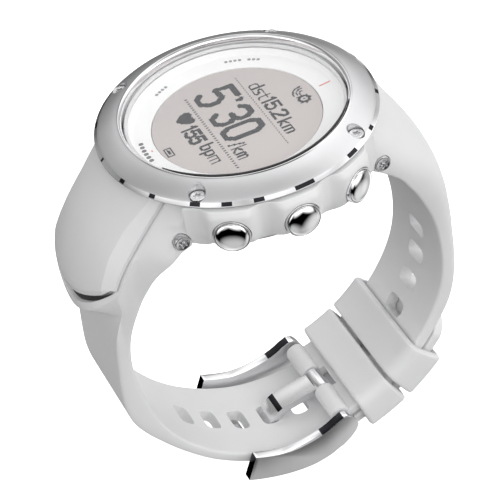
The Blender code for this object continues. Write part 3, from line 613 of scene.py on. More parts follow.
def star_screw(name, base, axis, head, head_h, shank, length, points=6, phase=0.0):
    """Turned screw with a raised rim, a dished face and a star recess."""
    axis, base = Vector(axis), Vector(base)
    u, v = square_to(axis)
    n = points * 8

    def star(i, scale):
        a = 2 * math.pi * i / n
        return head * scale * (0.50 + 0.13 * math.cos(points * a))

    recess = ((-head_h * 0.62, 0.88), (-head_h * 0.12, 0.98), (-0.05, 1.08))
    outside = ((-0.05, head * 0.74), (0.0, head * 0.80), (0.0, head - 0.14), (-0.04, head - 0.05),
               (-0.13, head), (-head_h + 0.05, head), (-head_h, head - 0.05), (-head_h, shank),
               (-length + 0.1, shank), (-length, shank - 0.1))
    rings = [[(depth, star(i, scale)) for i in range(n)] for depth, scale in recess]
    rings += [[(depth, r)] * n for depth, r in outside]
    out = []
    for ring in rings:
        pts = []
        for i, (d, r) in enumerate(ring):
            a = 2 * math.pi * i / n + phase
            pts.append(tuple(base + axis * d + (u * math.cos(a) + v * math.sin(a)) * r))
        out.append(pts)
    return loft(name, out, (M["screw"],), sharp=30)


def screws():
    for i, a in enumerate(BEZEL_SCREWS, 1):
        base, phase = (*polar(BEZEL_SCREW_R, a), 13.42), math.radians(a + 10)
        screw = star_screw("bezel_screw_fine_%d" % i, base, (0, 0, 1), 1.34, 0.7, 0.6, 1.2, phase=phase)
        shown(screw, "watch", "bezel_screw_%d" % i, slot="screw_steel")
    for i in range(1, 5):
        x, y = node_centre("case_back_screw_%d" % i)
        screw = star_screw("back_screw_fine_%d" % i, (x, y, 0.05), (0, 0, -1), 0.95, 0.5, 0.5, 2.6, 5)
        shown(screw, "watch", "case_back_screw_%d" % i, slot="screw_steel")
    for i, (side, sign) in enumerate(((1, 1), (-1, 1), (1, -1), (-1, -1)), 1):
        place = (side * 17.7, sign * LUG_Y, LUG_Z)
        screw = star_screw("lug_screw_fine_%d" % i, place, (side, 0, 0), 1.45, 1.15, 0.6, 6.2, phase=0.3)
        shown(screw, "watch", "lug_screw_%d" % i, slot="screw_steel")


# ---- display
def display():
    """Crystal, its seal, a black strip of painted shadow at its right edge, the dial ring and the display
    module.
    """
    outline = ((0, 14.1), (19.4, 14.1), (19.5, 14.2), (19.5, 14.85), (19.42, 15.0), (19.25, 15.08),
               (0, 15.1))
    crystal = turned("crystal_disc", outline, 160, (M["glass"],))
    crystal.visible_shadow = False
    shown(crystal, "watch", "crystal", slot="crystal_glass")
    outline = rounded([(18.95, 13.3), (19.5, 13.3), (19.5, 13.8), (18.95, 13.8)], [0.12] * 4, 3)
    edge_piece = turned("crystal_seal", outline, 128, (M["gasket"],))
    shown(edge_piece, "watch", "crystal_gasket", slot="pale_gasket")
    # Painted shadow in the gap between crystal and bezel: a black strip, widest at 3 o'clock.
    rows, edge = [], 19.82
    for k in range(60):
        t = k / 59
        inner = edge - 0.40 * min(1.0, 0.12 + 6.0 * t * (1 - t))
        section = ((edge, 14.9), (inner, 14.9), (inner, 15.14), (edge, 15.14))
        rows.append([(*polar(r, -62 + 122 * t), z) for r, z in section])
    shown(loft("crystal_edge_painted_shadow", rows, (M["dark_gasket_and_painted_shadow"],), sharp=30), "watch", slot="pale_gasket")
    outline = ((15.1, 10.9), (19.3, 10.9), (19.3, 12.95), (19.25, 13.0), (19.0, 13.0), (18.93, 12.9),
               (18.70, 12.05), (18.55, 11.82), (18.3, 11.72), (18.0, DIAL_Z), (15.22, DIAL_Z),
               (15.12, 11.66), (15.1, 11.6))
    ring = turned("dial_ring_fine", outline, 192, (M["dial"],))
    shown(ring, "watch", "dial_ring", slot="white_ring_plastic")
    outline = ((0, 9.4), (16.45, 9.4), (16.5, 9.45), (16.5, 10.6), (14.98, 10.6), (14.98, 11.5),
               (14.93, LCD_Z), (0, LCD_Z))
    panel = turned("lcd_module", outline, 160, (M["lcd"],))
    shown(panel, "watch", "lcd_display", slot="display_panel")


GLYPHS = {  # strokes on a 0..1 wide, 0..1.6 tall cell
    "0": [[(0.25, 0), (0.75, 0), (1, 0.3), (1, 1.3), (0.75, 1.6), (0.25, 1.6), (0, 1.3), (0, 0.3),
           (0.25, 0)]],
    "1": [[(0.35, 1.25), (0.6, 1.6), (0.6, 0)]],
    "2": [[(0, 1.3), (0.25, 1.6), (0.75, 1.6), (1, 1.35), (1, 1.05), (0, 0.1), (0, 0), (1, 0)]],
    "3": [[(0, 1.35), (0.25, 1.6), (0.75, 1.6), (1, 1.35), (1, 1.05), (0.75, 0.82), (0.4, 0.82)],
          [(0.75, 0.82), (1, 0.6), (1, 0.3), (0.75, 0), (0.25, 0), (0, 0.25)]],
    "5": [[(1, 1.6), (0.08, 1.6), (0.02, 0.9), (0.7, 0.98), (1, 0.72), (1, 0.3), (0.72, 0), (0.25, 0),
           (0, 0.2)]],
    ".": [[(0.0, 0.0), (0.02, 0.02)]],
    "/": [[(0, -0.1), (0.55, 1.6)]],
    "k": [[(0, 0), (0, 1.6)], [(0.8, 1.0), (0.05, 0.45), (0.85, 0)]],
    "m": [[(0, 0), (0, 1.0), (0.5, 1.0), (0.62, 0.85), (0.62, 0)],
          [(0.62, 0.9), (0.75, 1.0), (1.1, 1.0), (1.25, 0.85), (1.25, 0)]],
    "d": [[(0.8, 1.6), (0.8, 0), (0.2, 0), (0, 0.2), (0, 0.8), (0.2, 1.0), (0.8, 1.0)]],
    "s": [[(0.8, 1.0), (0.15, 1.0), (0, 0.85), (0.1, 0.6), (0.7, 0.45), (0.8, 0.2), (0.65, 0), (0, 0)]],
    "t": [[(0.3, 1.4), (0.3, 0.15), (0.45, 0), (0.7, 0)], [(0, 1.0), (0.65, 1.0)]],
    "b": [[(0, 1.6), (0, 0), (0.6, 0), (0.8, 0.2), (0.8, 0.8), (0.6, 1.0), (0, 1.0)]],
    "p": [[(0, -0.5), (0, 1.0), (0.6, 1.0), (0.8, 0.8), (0.8, 0.2), (0.6, 0), (0, 0)]],
}
WIDTHS = {"1": 0.75, ".": 0.02, "/": 0.55, "m": 1.25, "k": 0.85,
          "d": 0.8, "s": 0.8, "t": 0.7, "b": 0.8, "p": 0.8}


def line_of(text, x, y, height, width, stroke, gap):
    """Strokes for a short reading whose left foot is at (x, y)."""
    out = []
    for ch in text:
        for path in GLYPHS[ch]:
            out.append(([(x + px * width, y + py / 1.6 * height) for px, py in path], stroke))
        x += WIDTHS.get(ch, 1.0) * width + gap
    return out


def near(px, py, path, reach):
    """Whether a point lies within reach of a path."""
    for (ax, ay), (bx, by) in zip(path[:-1], path[1:]):
        dx, dy = bx - ax, by - ay
        d2 = dx * dx + dy * dy
        t = 0.0 if d2 == 0 else max(0.0, min(1.0, ((px - ax) * dx + (py - ay) * dy) / d2))
        if (px - ax - t * dx) ** 2 + (py - ay - t * dy) ** 2 <= reach * reach:
            return True
    return False


def display_marks():
    """Every stroke on the display, as (path, width), and the round icons above the readings."""
    marks = line_of("5", -10.05, -3.7, 6.85, 3.4, 1.1, 1.0)
    marks += [([(-5.35, 3.25), (-4.95, 2.9), (-5.15, 2.4)], 0.7)]
    for text, x, y, height, width, stroke, gap in (
            ("30", -3.3, -3.7, 6.85, 3.3, 1.1, 1.4), ("/km", 5.95, -4.15, 2.5, 1.25, 0.36, 0.62),
            ("dst", -7.7, 5.7, 2.5, 1.55, 0.34, 0.62), ("15.2", -2.9, 5.8, 2.55, 1.72, 0.58, 0.62),
            ("km", 4.8, 5.7, 2.5, 1.45, 0.36, 0.62), ("155", -3.15, -9.3, 2.5, 1.45, 0.62, 0.6),
            ("bpm", 3.5, -8.5, 2.4, 1.45, 0.38, 0.62)):
        marks += line_of(text, x, y, height, width, stroke, gap)

    def around(cx, cy, r, angles):
        return [(cx + x, cy + y) for x, y in [polar(r, a) for a in angles]]

    for k in range(3):
        marks.append((around(-0.45, 13.05, 0.65 + 0.62 * k, range(175, 272, 16)), 0.28))
    marks.append((around(1.3, 12.4, 0.9, [22.5 * t for t in range(17)]), 0.5))
    for a in range(0, 360, 45):
        marks.append((around(1.3, 12.4, 1.1, [a]) + around(1.3, 12.4, 1.3, [a]), 0.3))
    marks.append(([(1.2, 12.5), (1.3, 12.4)], 0.3))
    marks.append(([(0.55, -14.15), (2.8, -14.15), (2.8, -13.1), (0.55, -13.1), (0.55, -14.15)], 0.28))
    marks.append(([(1.25, -13.63), (2.1, -13.63)], 0.5))
    return marks


def lit_cells():
    """Grid of the display's cells, true where one is dark: strokes, the heart and two dotted rules."""
    lit = [[False] * CELLS for _ in range(CELLS)]

    def middle(i):
        return (i + 0.5) * PIXEL - LCD_R

    def span(values, stroke):
        first = int((min(values) - stroke + LCD_R) / PIXEL)
        last = int((max(values) + stroke + LCD_R) / PIXEL) + 2
        return range(max(0, first), min(CELLS, last))

    for path, stroke in display_marks():
        for j in span([q[1] for q in path], stroke):
            for i in span([q[0] for q in path], stroke):
                if not lit[j][i] and near(middle(i), middle(j), path, stroke / 2):
                    lit[j][i] = True
    for j in range(CELLS):
        for i in range(CELLS):
            px, py = middle(i), middle(j)
            hx, hy = (px + 5.38) / 1.5, (py + 7.95) / 1.5
            if (hx * hx + hy * hy - 0.92) ** 3 - 1.3 * hx * hx * hy ** 3 < 0:
                lit[j][i] = True
            for row, x0, x1 in ((4.75, -11.3, 11.6), (-5.35, -10.7, 12.6)):
                if abs(py - row) < PIXEL * 0.75 and x0 < px < x1 and i % 3 == 0:
                    lit[j][i] = True
    return lit


def readout():
    """Dark cells of the display, as one thin layer made of the display's own square pixels."""
    lit = lit_cells()
    verts, faces, index = [], [], {}

    def vid(i, j, top):
        key = (i, j, top)
        if key not in index:
            index[key] = len(verts)
            verts.append((i * PIXEL - LCD_R, j * PIXEL - LCD_R, LCD_Z + (0.03 if top else 0.005)))
        return index[key]

    sides = (((0, -1), (0, 1)), ((1, 0), (1, 2)), ((0, 1), (2, 3)), ((-1, 0), (3, 0)))
    for j in range(CELLS):
        for i in range(CELLS):
            if not lit[j][i]:
                continue
            c = [(i, j), (i + 1, j), (i + 1, j + 1), (i, j + 1)]
            faces.append([vid(a, b, 1) for a, b in c])
            faces.append([vid(a, b, 0) for a, b in c[::-1]])
            for (da, db), (p, q) in sides:
                if not lit[j + db][i + da]:
                    faces.append([vid(*c[p], 0), vid(*c[q], 0), vid(*c[q], 1), vid(*c[p], 1)])
    shown(mesh_object("lcd_readout", verts, faces, (M["ink"],), None, None), "watch", slot="display_panel")


def flat_mark(r, at, length, width, turn, mat):
    """Thin printed bar with rounded ends on the dial ring."""
    cx, cy = polar(r, at)
    c, n = polar(1.0, turn)
    half, side = length / 2, width / 2
    pts = rounded([(-half, -side), (half, -side), (half, side), (-half, side)], [width * 0.4] * 4, 3)
    ring = [(cx + x * c - y * n, cy + x * n + y * c) for x, y in pts]
    return loft("mark", [[(x, y, DIAL_Z + h) for x, y in ring] for h in (0.004, 0.03)], (M[mat],), sharp=30)


def printed_marks():
    """Plain dashes at the places of printed labels, and the line at 12 o'clock."""
    marks = []
    for centre, span, bars in ((158.5, 3.3, 4), (146.0, 2.5, 3), (-152.5, 3.3, 4)):
        step = math.degrees(span / 17.4) / bars
        for k in range(bars):
            a = centre + (k - (bars - 1) / 2) * step
            marks.append(flat_mark(17.35, a, math.radians(step) * 17.35 * 0.72, 0.62, a + 90, "print"))
    for k in range(6):
        a = -91.5 + (k - 2.5) * 3.5
        marks.append(flat_mark(17.2, a, 0.74, 0.85, a + 90, "print_dark"))
    marks.append(flat_mark(17.205, 91.4, 2.3, 0.30, 96, "print_red"))
    marks.append(flat_mark(16.001, -90.716, 0.45, 0.30, 0, "print_red"))
    shown(join(marks, "dial_marks"), "watch", slot="white_ring_plastic")


def join(objects, name):
    """One object from several, keeping their materials."""
    mats = []
    for ob in objects:
        for m in ob.data.materials:
            if m not in mats:
                mats.append(m)
    bm = bmesh.new()
    for ob in objects:
        base = len(bm.faces)
        local = list(ob.data.materials)
        bm.from_mesh(ob.data)
        bm.faces.ensure_lookup_table()
        for f in bm.faces[base:]:
            f.material_index = mats.index(local[f.material_index]) if local else 0
    me = bpy.data.meshes.new(name)
    bm.to_mesh(me)
    bm.free()
    for m in mats:
        me.materials.append(m)
    objects[0].data = me
    objects[0].name = name
    for ob in objects[1:]:
        bpy.data.objects.remove(ob, do_unlink=True)
    return objects[0]


# ---- buttons
def buttons():
    """Domed caps with their stems, thin collars and return springs."""
    r, low, rise = 2.86, 26.35, 0.95
    dome = [(r * math.cos(t), low + rise * math.sin(t)) for t in [math.pi / 2 * k / 14 for k in range(14)]]
    stem = [(0, 20.7), (0.7, 20.7), (0.8, 20.8), (0.8, 24.9), (r - 0.07, 24.9), (r, 24.97)]
    ring = rounded([(2.93, 24.2), (3.2, 24.2), (3.2, 26.38), (2.93, 26.38)], [0.03, 0.03, 0.12, 0.12], 4)
    for i, a in enumerate(BUTTON_ANGLES, 1):
        place = radial(a, BUTTON_Z)
        outline = stem + dome + [(0, low + rise)]
        cap = turned("button_dome_%d" % i, outline, 72, (M["dome"],), place=place)
        shown(cap, "button_%d" % i, "button_cap_%d" % i, slot="polished_steel")
        collar = turned("button_ring_%d" % i, ring, 72, (M["polish"],), place=place)
        shown(collar, "watch", "button_collar_%d" % i, slot="polished_steel")
        spring(i, place)


def spring(i, place):
    """Coil round the button's stem, in place of the CAD spring."""
    count, turns, coil_r, wire_r = 72, 3.0, 1.7, 0.2
    rings = []
    for k in range(count + 1):
        t = k / count
        section = []
        for q in range(8):
            painted_shade_across, along = polar(wire_r, 45 * q)
            point = (*polar(coil_r + painted_shade_across, 360 * turns * t), 23.15 + 1.25 * t + along)
            section.append(tuple(place(point)))
        rings.append(section)
    coil = loft("spring_fine_%d" % i, rings, (M["screw"],), sharp=60)
    fixed, moving = (tuple(c * MM for c in place((0, 0, d))) for d in (23.2, 24.4))
    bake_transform(coil)
    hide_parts("button_spring_%d" % i)


# ---- straps
def inner_face(half, r_in, inner):
    """Flat inner face of a strap with one rounded corner, then the other corner (across, radius)."""
    flat = [(-(half - inner) + 2 * (half - inner) * k / 8, r_in) for k in range(9)]
    corner = []
    for k in range(1, 6):
        t = math.pi / 2 * k / 6
        corner.append((half - inner + inner * math.sin(t), r_in + inner - inner * math.cos(t)))
    return flat + corner, [(-x, r) for x, r in corner[::-1]]


def strap_section(angle, r_in, r_out, half, crown, soft):
    """Closed loop across a strap: flat inside, crowned outside, rounded edges."""
    inner = 0.6
    soft = min(soft, half * 0.45, max(0.25, (r_out - crown - r_in - inner) * 0.92))
    start, end = inner_face(half, r_in, inner)

    def top(x):
        return r_out - crown * (x / half) ** 2

    shoulder = half - soft
    lean = top(shoulder) - top(half)
    edge = []
    for k in range(9):
        t = math.pi / 2 * k / 8
        rise = top(shoulder) - soft - lean * math.cos(t) * 0.5 + soft * math.sin(t)
        edge.append((shoulder + soft * math.cos(t), rise))
    crest = [shoulder * (1 - 2 * k / 16) for k in range(1, 16)]
    pts = start + edge + [(x, top(x)) for x in crest] + [(-x, r) for x, r in edge[::-1]] + end
    return [on_loop(angle, r, x) for x, r in pts]


def slot_tool(angle, r0, r1):
    """Rounded slot through a strap."""
    half, reach = 2.75, 1.72
    pts = rounded([(-half, -reach), (half, -reach), (half, reach), (-half, reach)], [1.35] * 4, 6)
    deg = math.degrees(1.0 / ((r0 + r1) / 2))
    return loft("slot", [[on_loop(angle + y * deg, r, x) for x, y in pts] for r in (r0, r1)], sharp=None)


def envelope():
    """Solid that the strap roots and the cover stop at: the case with a small gap round it."""
    r_root, r_side = CASE_R_ROOT + ROOT_GAP, 27.5 + ROOT_GAP
    outline = []
    for k in range(240):
        a = 1.5 * k
        outline.append((a, r_root if abs(a % 180.0 - 90.0) < 90.0 - ROOT_ANGLE else r_side))
    for e in (ROOT_ANGLE, 180 + ROOT_ANGLE):
        outline += [(e + 0.3, r_root), (e - 0.3, r_side)]
    for e in (180 - ROOT_ANGLE, 360 - ROOT_ANGLE):
        outline += [(e + 0.3, r_side), (e - 0.3, r_root)]
    outline.sort()
    return loft("envelope", [[(*polar(r, a), z) for a, r in outline] for z in (-4.0, 16.0)], sharp=None)


def above_case():
    return box((-40, -40, CASE_Z[1]), (40, 40, 40))


def trim_root(ob, sign):
    """Cut a strap root back to the case, its lug block and the sinks of its screws."""
    tool = envelope()
    y0, y1 = sorted((sign * 10.0, sign * 21.9))
    cut(tool, box((-12.5, y0, -12.0), (12.5, y1, 6.4)), "UNION")
    cut(tool, above_case(), "UNION")
    outline = ((0, 12.0), (1.0, 12.0), (1.0, 16.3), (1.56, 16.3), (1.56, 22.0), (0, 22.0))
    for side in (1, -1):
        def place(v):
            return Vector((side * v[2], sign * LUG_Y + v[0], LUG_Z + v[1]))

        cut(tool, turned("sink", outline, 40, place=place, sharp=None), "UNION")
    cut(ob, tool)


def across_pivot(reach):
    """Ends of a rod along the buckle's pivot."""
    _, y, z = on_loop(PIVOT[1], PIVOT[0])
    return (-reach, y, z), (reach, y, z)


def strap_twelve():
    """Strap half with the buckle: its slots, the knuckle for the spring bar and the notch for the tang."""
    rings, tables = [], (S12_IN, S12_OUT, S12_HALF, S12_CROWN, S12_ROUND)
    for a in steps(-80, -24, 1.6) + steps(-24, 68, 1.5)[1:]:
        rings.append(strap_section(a, *(smooth(table, a) for table in tables)))
    ob = loft("strap_12_fine", rings, (M["rubber"],), sharp=None)
    trim_root(ob, 1)
    for a in SLOTS_12:
        cut(ob, slot_tool(a, 27.5, 38.0))
    cut(ob, rod("knuckle", *across_pivot(10.35), 1.9, 40, (M["rubber"],), 0.3, None), "UNION")
    cut(ob, bore(*across_pivot(20), 0.9, 20))
    corners = ((-2.8, 27), (2.8, 27), (2.8, 36), (-2.8, 36))
    cut(ob, loft("notch", [[on_loop(a, r, x) for x, r in corners] for a in (-90, -74.8)], sharp=None))
    shade(ob, 34)
    return shown(ob, "watch", "strap_buckle_side", slot="white_strap_rubber")


def tray_bend(a, x):
    """Loop angle of the point x on the cross line a; the lines bow round the lip of the tray."""
    bow = ((0, 0), (3, 0.6), (6, 2.2), (9, 4.6), (11, 7.2), (12.2, 10.2), (13.2, 13.5))
    drop = smooth(bow, abs(x)) + 0.12 * x
    return a - drop * ease(128, 160, a) * (1 - ease(166, 196, a))


def hump_height(b, x):
    """Radius of the surface that the cover lies on."""
    return smooth(HUMP_OUT, b) - smooth(HUMP_CROWN, b) * (x / smooth(S6_HALF, b)) ** 2


def six_section(a):
    """Closed loop across the tail strap: flat inside, hump, tray lip or flat strap outside."""
    half, r_in, inner = smooth(S6_HALF, a), smooth(S6_IN, a), 0.5
    start, end = inner_face(half, r_in, inner)

    def top(u):
        step = ease(TRAY_END, TRAY_END + 1.9 + 5.0 * u ** 6, a)
        b = tray_bend(a, u * 13.0)
        x = u * smooth(S6_CREASE, b)
        lip = LIP_RISE * ease(COVER_END + 3.0, COVER_END + 3.5, a) * ease(0, 1, (1 - abs(u)) * 13.0 / 3.0)
        hump = hump_height(b, x) + lip
        return b, hump + (smooth(S6_FLAT, b) - hump) * step, x

    root = 1 - ease(158, 176, a)

    def wall(side):
        """Curved side from the inner face up to the edge of the top."""
        foot, edge = (a, r_in + inner, side * half), top(side)
        knee = (a + (edge[0] - a) * 0.7, foot[1] + (edge[1] - foot[1]) * (0.96 - 0.36 * root),
                side * (abs(edge[2]) + (half - abs(edge[2])) * (1.0 - 0.10 * root)))
        return [tuple(f * (1 - t) ** 2 + 2 * k * t * (1 - t) + e * t * t
                      for f, k, e in zip(foot, knee, edge)) for t in [n / 11 for n in range(11)]]

    pts = [(a, r, x) for x, r in start] + wall(1) + [top(1 - 2 * k / 34) for k in range(35)]
    pts += wall(-1)[::-1] + [(a, r, x) for x, r in end]
    return [on_loop(b, r, x) for b, r, x in pts]


def strap_six():
    """Tail half of the strap, with the hump and the tray for the antenna cover."""
    angles = [112]
    for stop, step in ((COVER_END, 1.6), (TRAY_END, 0.3), (TRAY_END + 2.0, 0.25), (178, 1.1), (318, 1.7)):
        angles += steps(angles[-1], stop, step)[1:]
    angles += [319.5, 321, 321.8, 322.6, 323.4, 324.2, 325, 325.8, 326.5, 327.1, 327.6, 328]
    ob = loft("strap_6_fine", [six_section(a) for a in angles], (M["rubber"],), sharp=None)
    trim_root(ob, -1)
    for a in SLOTS_6:
        cut(ob, slot_tool(a, 30.5, 39.0))
    shade(ob, 34)
    return shown(ob, "watch", "strap_tail_side", slot="white_strap_rubber")


def cover_bend(a, x):
    """As tray_bend, for the cover, whose lower edge is rounder."""
    drop = smooth(((0, 0), (3, 0.5), (6, 1.8), (9, 3.9), (11, 5.9), (12.6, 8.6)), abs(x)) + 0.08 * x
    return a - drop * ease(124, 150, a)


def cover_section(a):
    """Closed loop across the cover: flat underside, short sides, bevel bands and a crowned top."""
    half, edge, full = COVER_HALF, 0.95, 1.75
    band = smooth(((116, 0.8), (127, 1.8), (136, 2.5), (145, 2.5), (151, 2.1), (158, 1.7)), a)
    from_end = math.radians(COVER_END - a) * 39.5
    low_rise = full - 0.42 * max(0.0, 1 - from_end)

    def rise(x):
        return min(edge + (full - edge) * min(1.0, (half - abs(x)) / band), low_rise)

    xs = [half - band * k / 4 for k in range(5)] + [(half - band) * (1 - k / 8) for k in range(1, 8)]
    under = [(half * k / 10, 0.3) for k in range(-10, 11)] + [(half, 0.6), (half, 0.86)]
    over = [(x, rise(x)) for x in xs + [0.0] + [-x for x in xs[::-1]]] + [(-half, 0.86), (-half, 0.6)]
    out = []
    for x, h in under + over:
        b = cover_bend(a, x)
        out.append(on_loop(b, hump_height(b, x) + h, x))
    return out


def antenna_cover():
    """Raised panel with a bevel band along each side, and a black strip of painted shadow under its rounded
    lower edge; its top is coloured as painted shade.
    """
    angles = steps(116, COVER_END - 1.3, 1.4) + steps(COVER_END - 1.3, COVER_END, 0.22)[1:]
    # The top takes the darker panel copy as painted shade, so the bevel bands, in the white case moulding,
    # read lighter.
    top, bevel = 0, 1
    kinds = [top] * 22 + [bevel] * 5 + [top] * 16 + [bevel] * 5 + [top] * 2
    sections = [cover_section(a) for a in angles]
    cover = loft("antenna_panel", sections, (M["panel"], M["shell"]), row_mats=kinds, sharp=None)
    cut(cover, above_case())
    cut(cover, envelope())
    shade(cover, 5)
    shown(cover, "watch", "antenna_cover", slot="white_case_plastic")
    # Black strip of painted shadow under the cover's lower edge.
    section = ((0, -0.2), (0, 0.24), (1, 0.10), (1.04, 0.04), (1.04, -0.2))
    rows = []
    for k in range(41):
        x = -12.3 + 24.0 * k / 40
        wide = 3.6 * min(1.0, (12.2 - abs(x + 0.3)) / 2.6) + 0.1
        start = cover_bend(COVER_END, x) - 0.5
        row = [(start + t * wide, h) for t, h in section]
        rows.append([on_loop(a, hump_height(a, x) + h, x) for a, h in row])
    edge_piece = loft("antenna_panel_painted_shadow", rows, (M["dark_gasket_and_painted_shadow"],), sharp=30)
    shown(edge_piece, "watch", slot="white_case_plastic")


# ---- buckle and keepers
def bevelled(ob, width):
    """Narrow rounded edges."""
    mod = ob.modifiers.new("bevel", "BEVEL")
    mod.width = width * MM
    mod.segments = 2
    mod.limit_method = "ANGLE"
    mod.angle_limit = math.radians(30.0)
    applied(ob)
    shade(ob, 30)


FRAME_TOP = ((-114.3, 32.5), (-105, 32.5), (-100, 32.2), (-95, 31.6), (-90, 30.9), (-86, 30.2),
             (-82.5, 29.5))
FRAME_LOW = ((-114.3, 37.7), (-102, 37.6), (-95, 37.4), (-88, 36.6), (-83.5, 35.7))
FRAME_NOSE = ((-80.5, 29.25), (-78.8, 29.5), (-77.3, 30.4), (-76.5, 31.6), (-76.6, 32.8), (-78.2, 33.9),
              (-80.5, 34.8))
FRAME_END, NOSE_START, LOW_START = -114.3, -82.5, -83.5
RAIL = (11.4, 13.3)
BAR_REACH = 12.9
EYE_R = 0.9


def buckle_frame():
    """Two curved rails with polished tops and satin sides, joined by the far bar."""
    polar_points = [(a, smooth(FRAME_TOP, a)) for a in steps(FRAME_END, NOSE_START, 1.2)]
    polar_points += FRAME_NOSE
    polar_points += [(a, smooth(FRAME_LOW, a)) for a in steps(LOW_START, FRAME_END, 1.2)]
    outline = [on_loop(a, r)[1:] for a, r in polar_points]
    polish, satin, painted_dark_reflection = 0, 1, 2
    # Polished faces near the nose on the inner side, and the end face, take painted dark reflections.
    kinds = [painted_dark_reflection if -90.0 < a < -82.4 and r < 31.5 else polish for a, r in polar_points]
    kinds[-1] = painted_dark_reflection
    rails = []
    for side in (1, -1):
        ends = sorted(side * x for x in RAIL)
        rail = prism_x("rail", outline, ends, (M["polish"], M["buckle_side"], M["painted_dark_reflection"]), kinds)
        side_faces(rail, satin)
        cut(rail, bore(*across_pivot(BAR_REACH), EYE_R, 24, (M["polish"],)))
        rails.append(rail)
    r0, r1, a0, a1 = 36.5, 37.8, -110.5, -106.7
    corners = ((a0, r0 + 0.3), (a0 + 0.5, r0), (a1 - 0.5, r0), (a1, r0 + 0.3),
               (a1, r1 - 0.3), (a1 - 0.5, r1), (a0 + 0.5, r1), (a0, r1 - 0.3))
    bar = prism_x("bar", [on_loop(a, r)[1:] for a, r in corners], (-BAR_REACH, BAR_REACH), (M["polish"],))
    whole = rails[0]
    whole.name = "buckle_frame_fine"
    cut(whole, rails[1], "UNION")
    cut(whole, bar, "UNION")
    bevelled(whole, 0.16)
    shown(whole, "buckle", "buckle_frame", slot="polished_steel")


def buckle_tang():
    """Flat prong rolled round the spring bar, with a bend and a step down into the strap slot."""
    line = [(7.0, -53.5), (-2.2, -55.1), (-3.2, -55.6), (-5.4, -57.9)]
    line += [on_loop(a, r)[1:] for a, r in ((-101.9, 36.3), (-105.2, 38.1), (-113.0, 38.15))]
    thick, half = 1.3, 2.45
    points = [Vector(q) for q in line]
    directions = [(b - a).normalized() for a, b in zip(points[:-1], points[1:])]
    far_side = []
    for q, before, after in zip(points, directions[:1] + directions, directions + directions[-1:]):
        d = (before + after).normalized()
        far_side.append(tuple(q + Vector((-d.y, d.x)) * thick / max(0.5, d.dot(after))))
    steel, satin, painted_dark_reflection = 0, 1, 2
    # The second face of the outline takes a painted dark reflection.
    kinds = [steel, painted_dark_reflection] + [steel] * 12
    tang = prism_x("buckle_tang_fine", line + far_side[::-1], (-half, half),
                   (M["tang"], M["buckle_side"], M["painted_dark_reflection"]), kinds)
    side_faces(tang, satin)
    cut(tang, rod("eye", *across_pivot(half), 1.65, 40, (M["tang"],), sharp=None), "UNION")
    cut(tang, bore(*across_pivot(9), EYE_R, 24, (M["tang"],)))
    bevelled(tang, 0.14)
    shown(tang, "tang", "buckle_tang", slot="polished_steel")


def spring_bar():
    bar = rod("spring_bar_fine", *across_pivot(12.6), 0.65, 32, (M["screw"],), 0.2)
    shown(bar, "watch", "spring_bar", slot="screw_steel")


def keeper(index, centre, span):
    """Rubber loop with rounded ends; the strap passes through it."""
    first, last, round_off = centre - span, centre + span, 0.55
    angles = [first, first + 0.25, first + 0.7]
    angles += steps(first + 1.3, last - 1.3, 1.2)
    angles += [last - 0.7, last - 0.25, last]
    rings = []
    for a in angles:
        d = min(round_off, math.radians(span - abs(a - centre)) * 33)
        soft = round_off - math.sqrt(max(0.0, round_off ** 2 - (round_off - d) ** 2))
        h, r0, r1 = 12.6 - soft, 28.75 + soft, 36.75 - soft
        g, q0, q1 = 11.3, 30.05, 35.85
        outer = rounded([(-h, r0), (h, r0), (h, r1), (-h, r1)], [1.5, 3.0 - soft, 1.7, 1.7], 7)
        inner = rounded([(-g, q0), (g, q0), (g, q1), (-g, q1)], [0.5, 1.7, 0.5, 0.5], 7)
        rings.append(([on_loop(a, r, x) for x, r in outer], [on_loop(a, r, x) for x, r in inner]))
    n = len(rings[0][0])
    verts, faces = [], []
    for outer, inner in rings:
        verts += outer + inner
    last_base = (len(rings) - 1) * 2 * n
    for k in range(n):
        m = (k + 1) % n
        for a in range(0, last_base, 2 * n):
            b = a + 2 * n
            faces.append((a + k, a + m, b + m, b + k))
            faces.append((a + n + k, b + n + k, b + n + m, a + n + m))
        for a in (0, last_base):
            faces.append((a + k, a + m, a + n + m, a + n + k))
    ob = mesh_object("keeper_fine_%d" % index, verts, faces, (M["rubber"],), None, 40)
    shown(ob, "keeper_%d" % index, "strap_keeper_%d" % index, slot="white_strap_rubber")


# ---- underside and inner pieces
def case_back():
    """Steel plate with a turned groove, screw seats and holes for the charging contacts."""
    profile = [(0, 0.0), (12.0, 0.0), (15.6, 0.0), (15.7, 0.12), (15.9, 0.12), (16.0, 0.0), (18.9, 0.0),
               (19.2, 0.05), (19.9, 0.62), (20.0, 0.8), (20.0, 1.35), (19.95, 1.4), (0, 1.4)]
    plate = turned("case_back_fine", profile, 160, (M["brushed"],), sharp=None)
    seat = ((0, -1), (1.15, -1), (1.15, 0.75), (0.7, 0.75), (0.7, 2), (0, 2))
    contact = ((0, 0.1), (0.6, 0.12), (0.8, 0.25), (0.85, 0.4), (0.85, 2.05), (0.8, 2.1), (0, 2.1))
    for i in range(1, 5):
        place = moved(*node_centre("case_back_screw_%d" % i))
        cut(plate, turned("seat", seat, 32, place=place, sharp=None))
        x, y = node_centre("charge_contact_%d" % i)
        cut(plate, bore((x, y, -1), (x, y, 2), 1.1, 32))
        pin = turned("contact_fine_%d" % i, contact, 32, (M["gold"],), place=moved(x, y))
        shown(pin, "watch", "charge_contact_%d" % i, slot="contact_gold")
    shade(plate, 25)
    shown(plate, "watch", "case_back", slot="satin_steel")


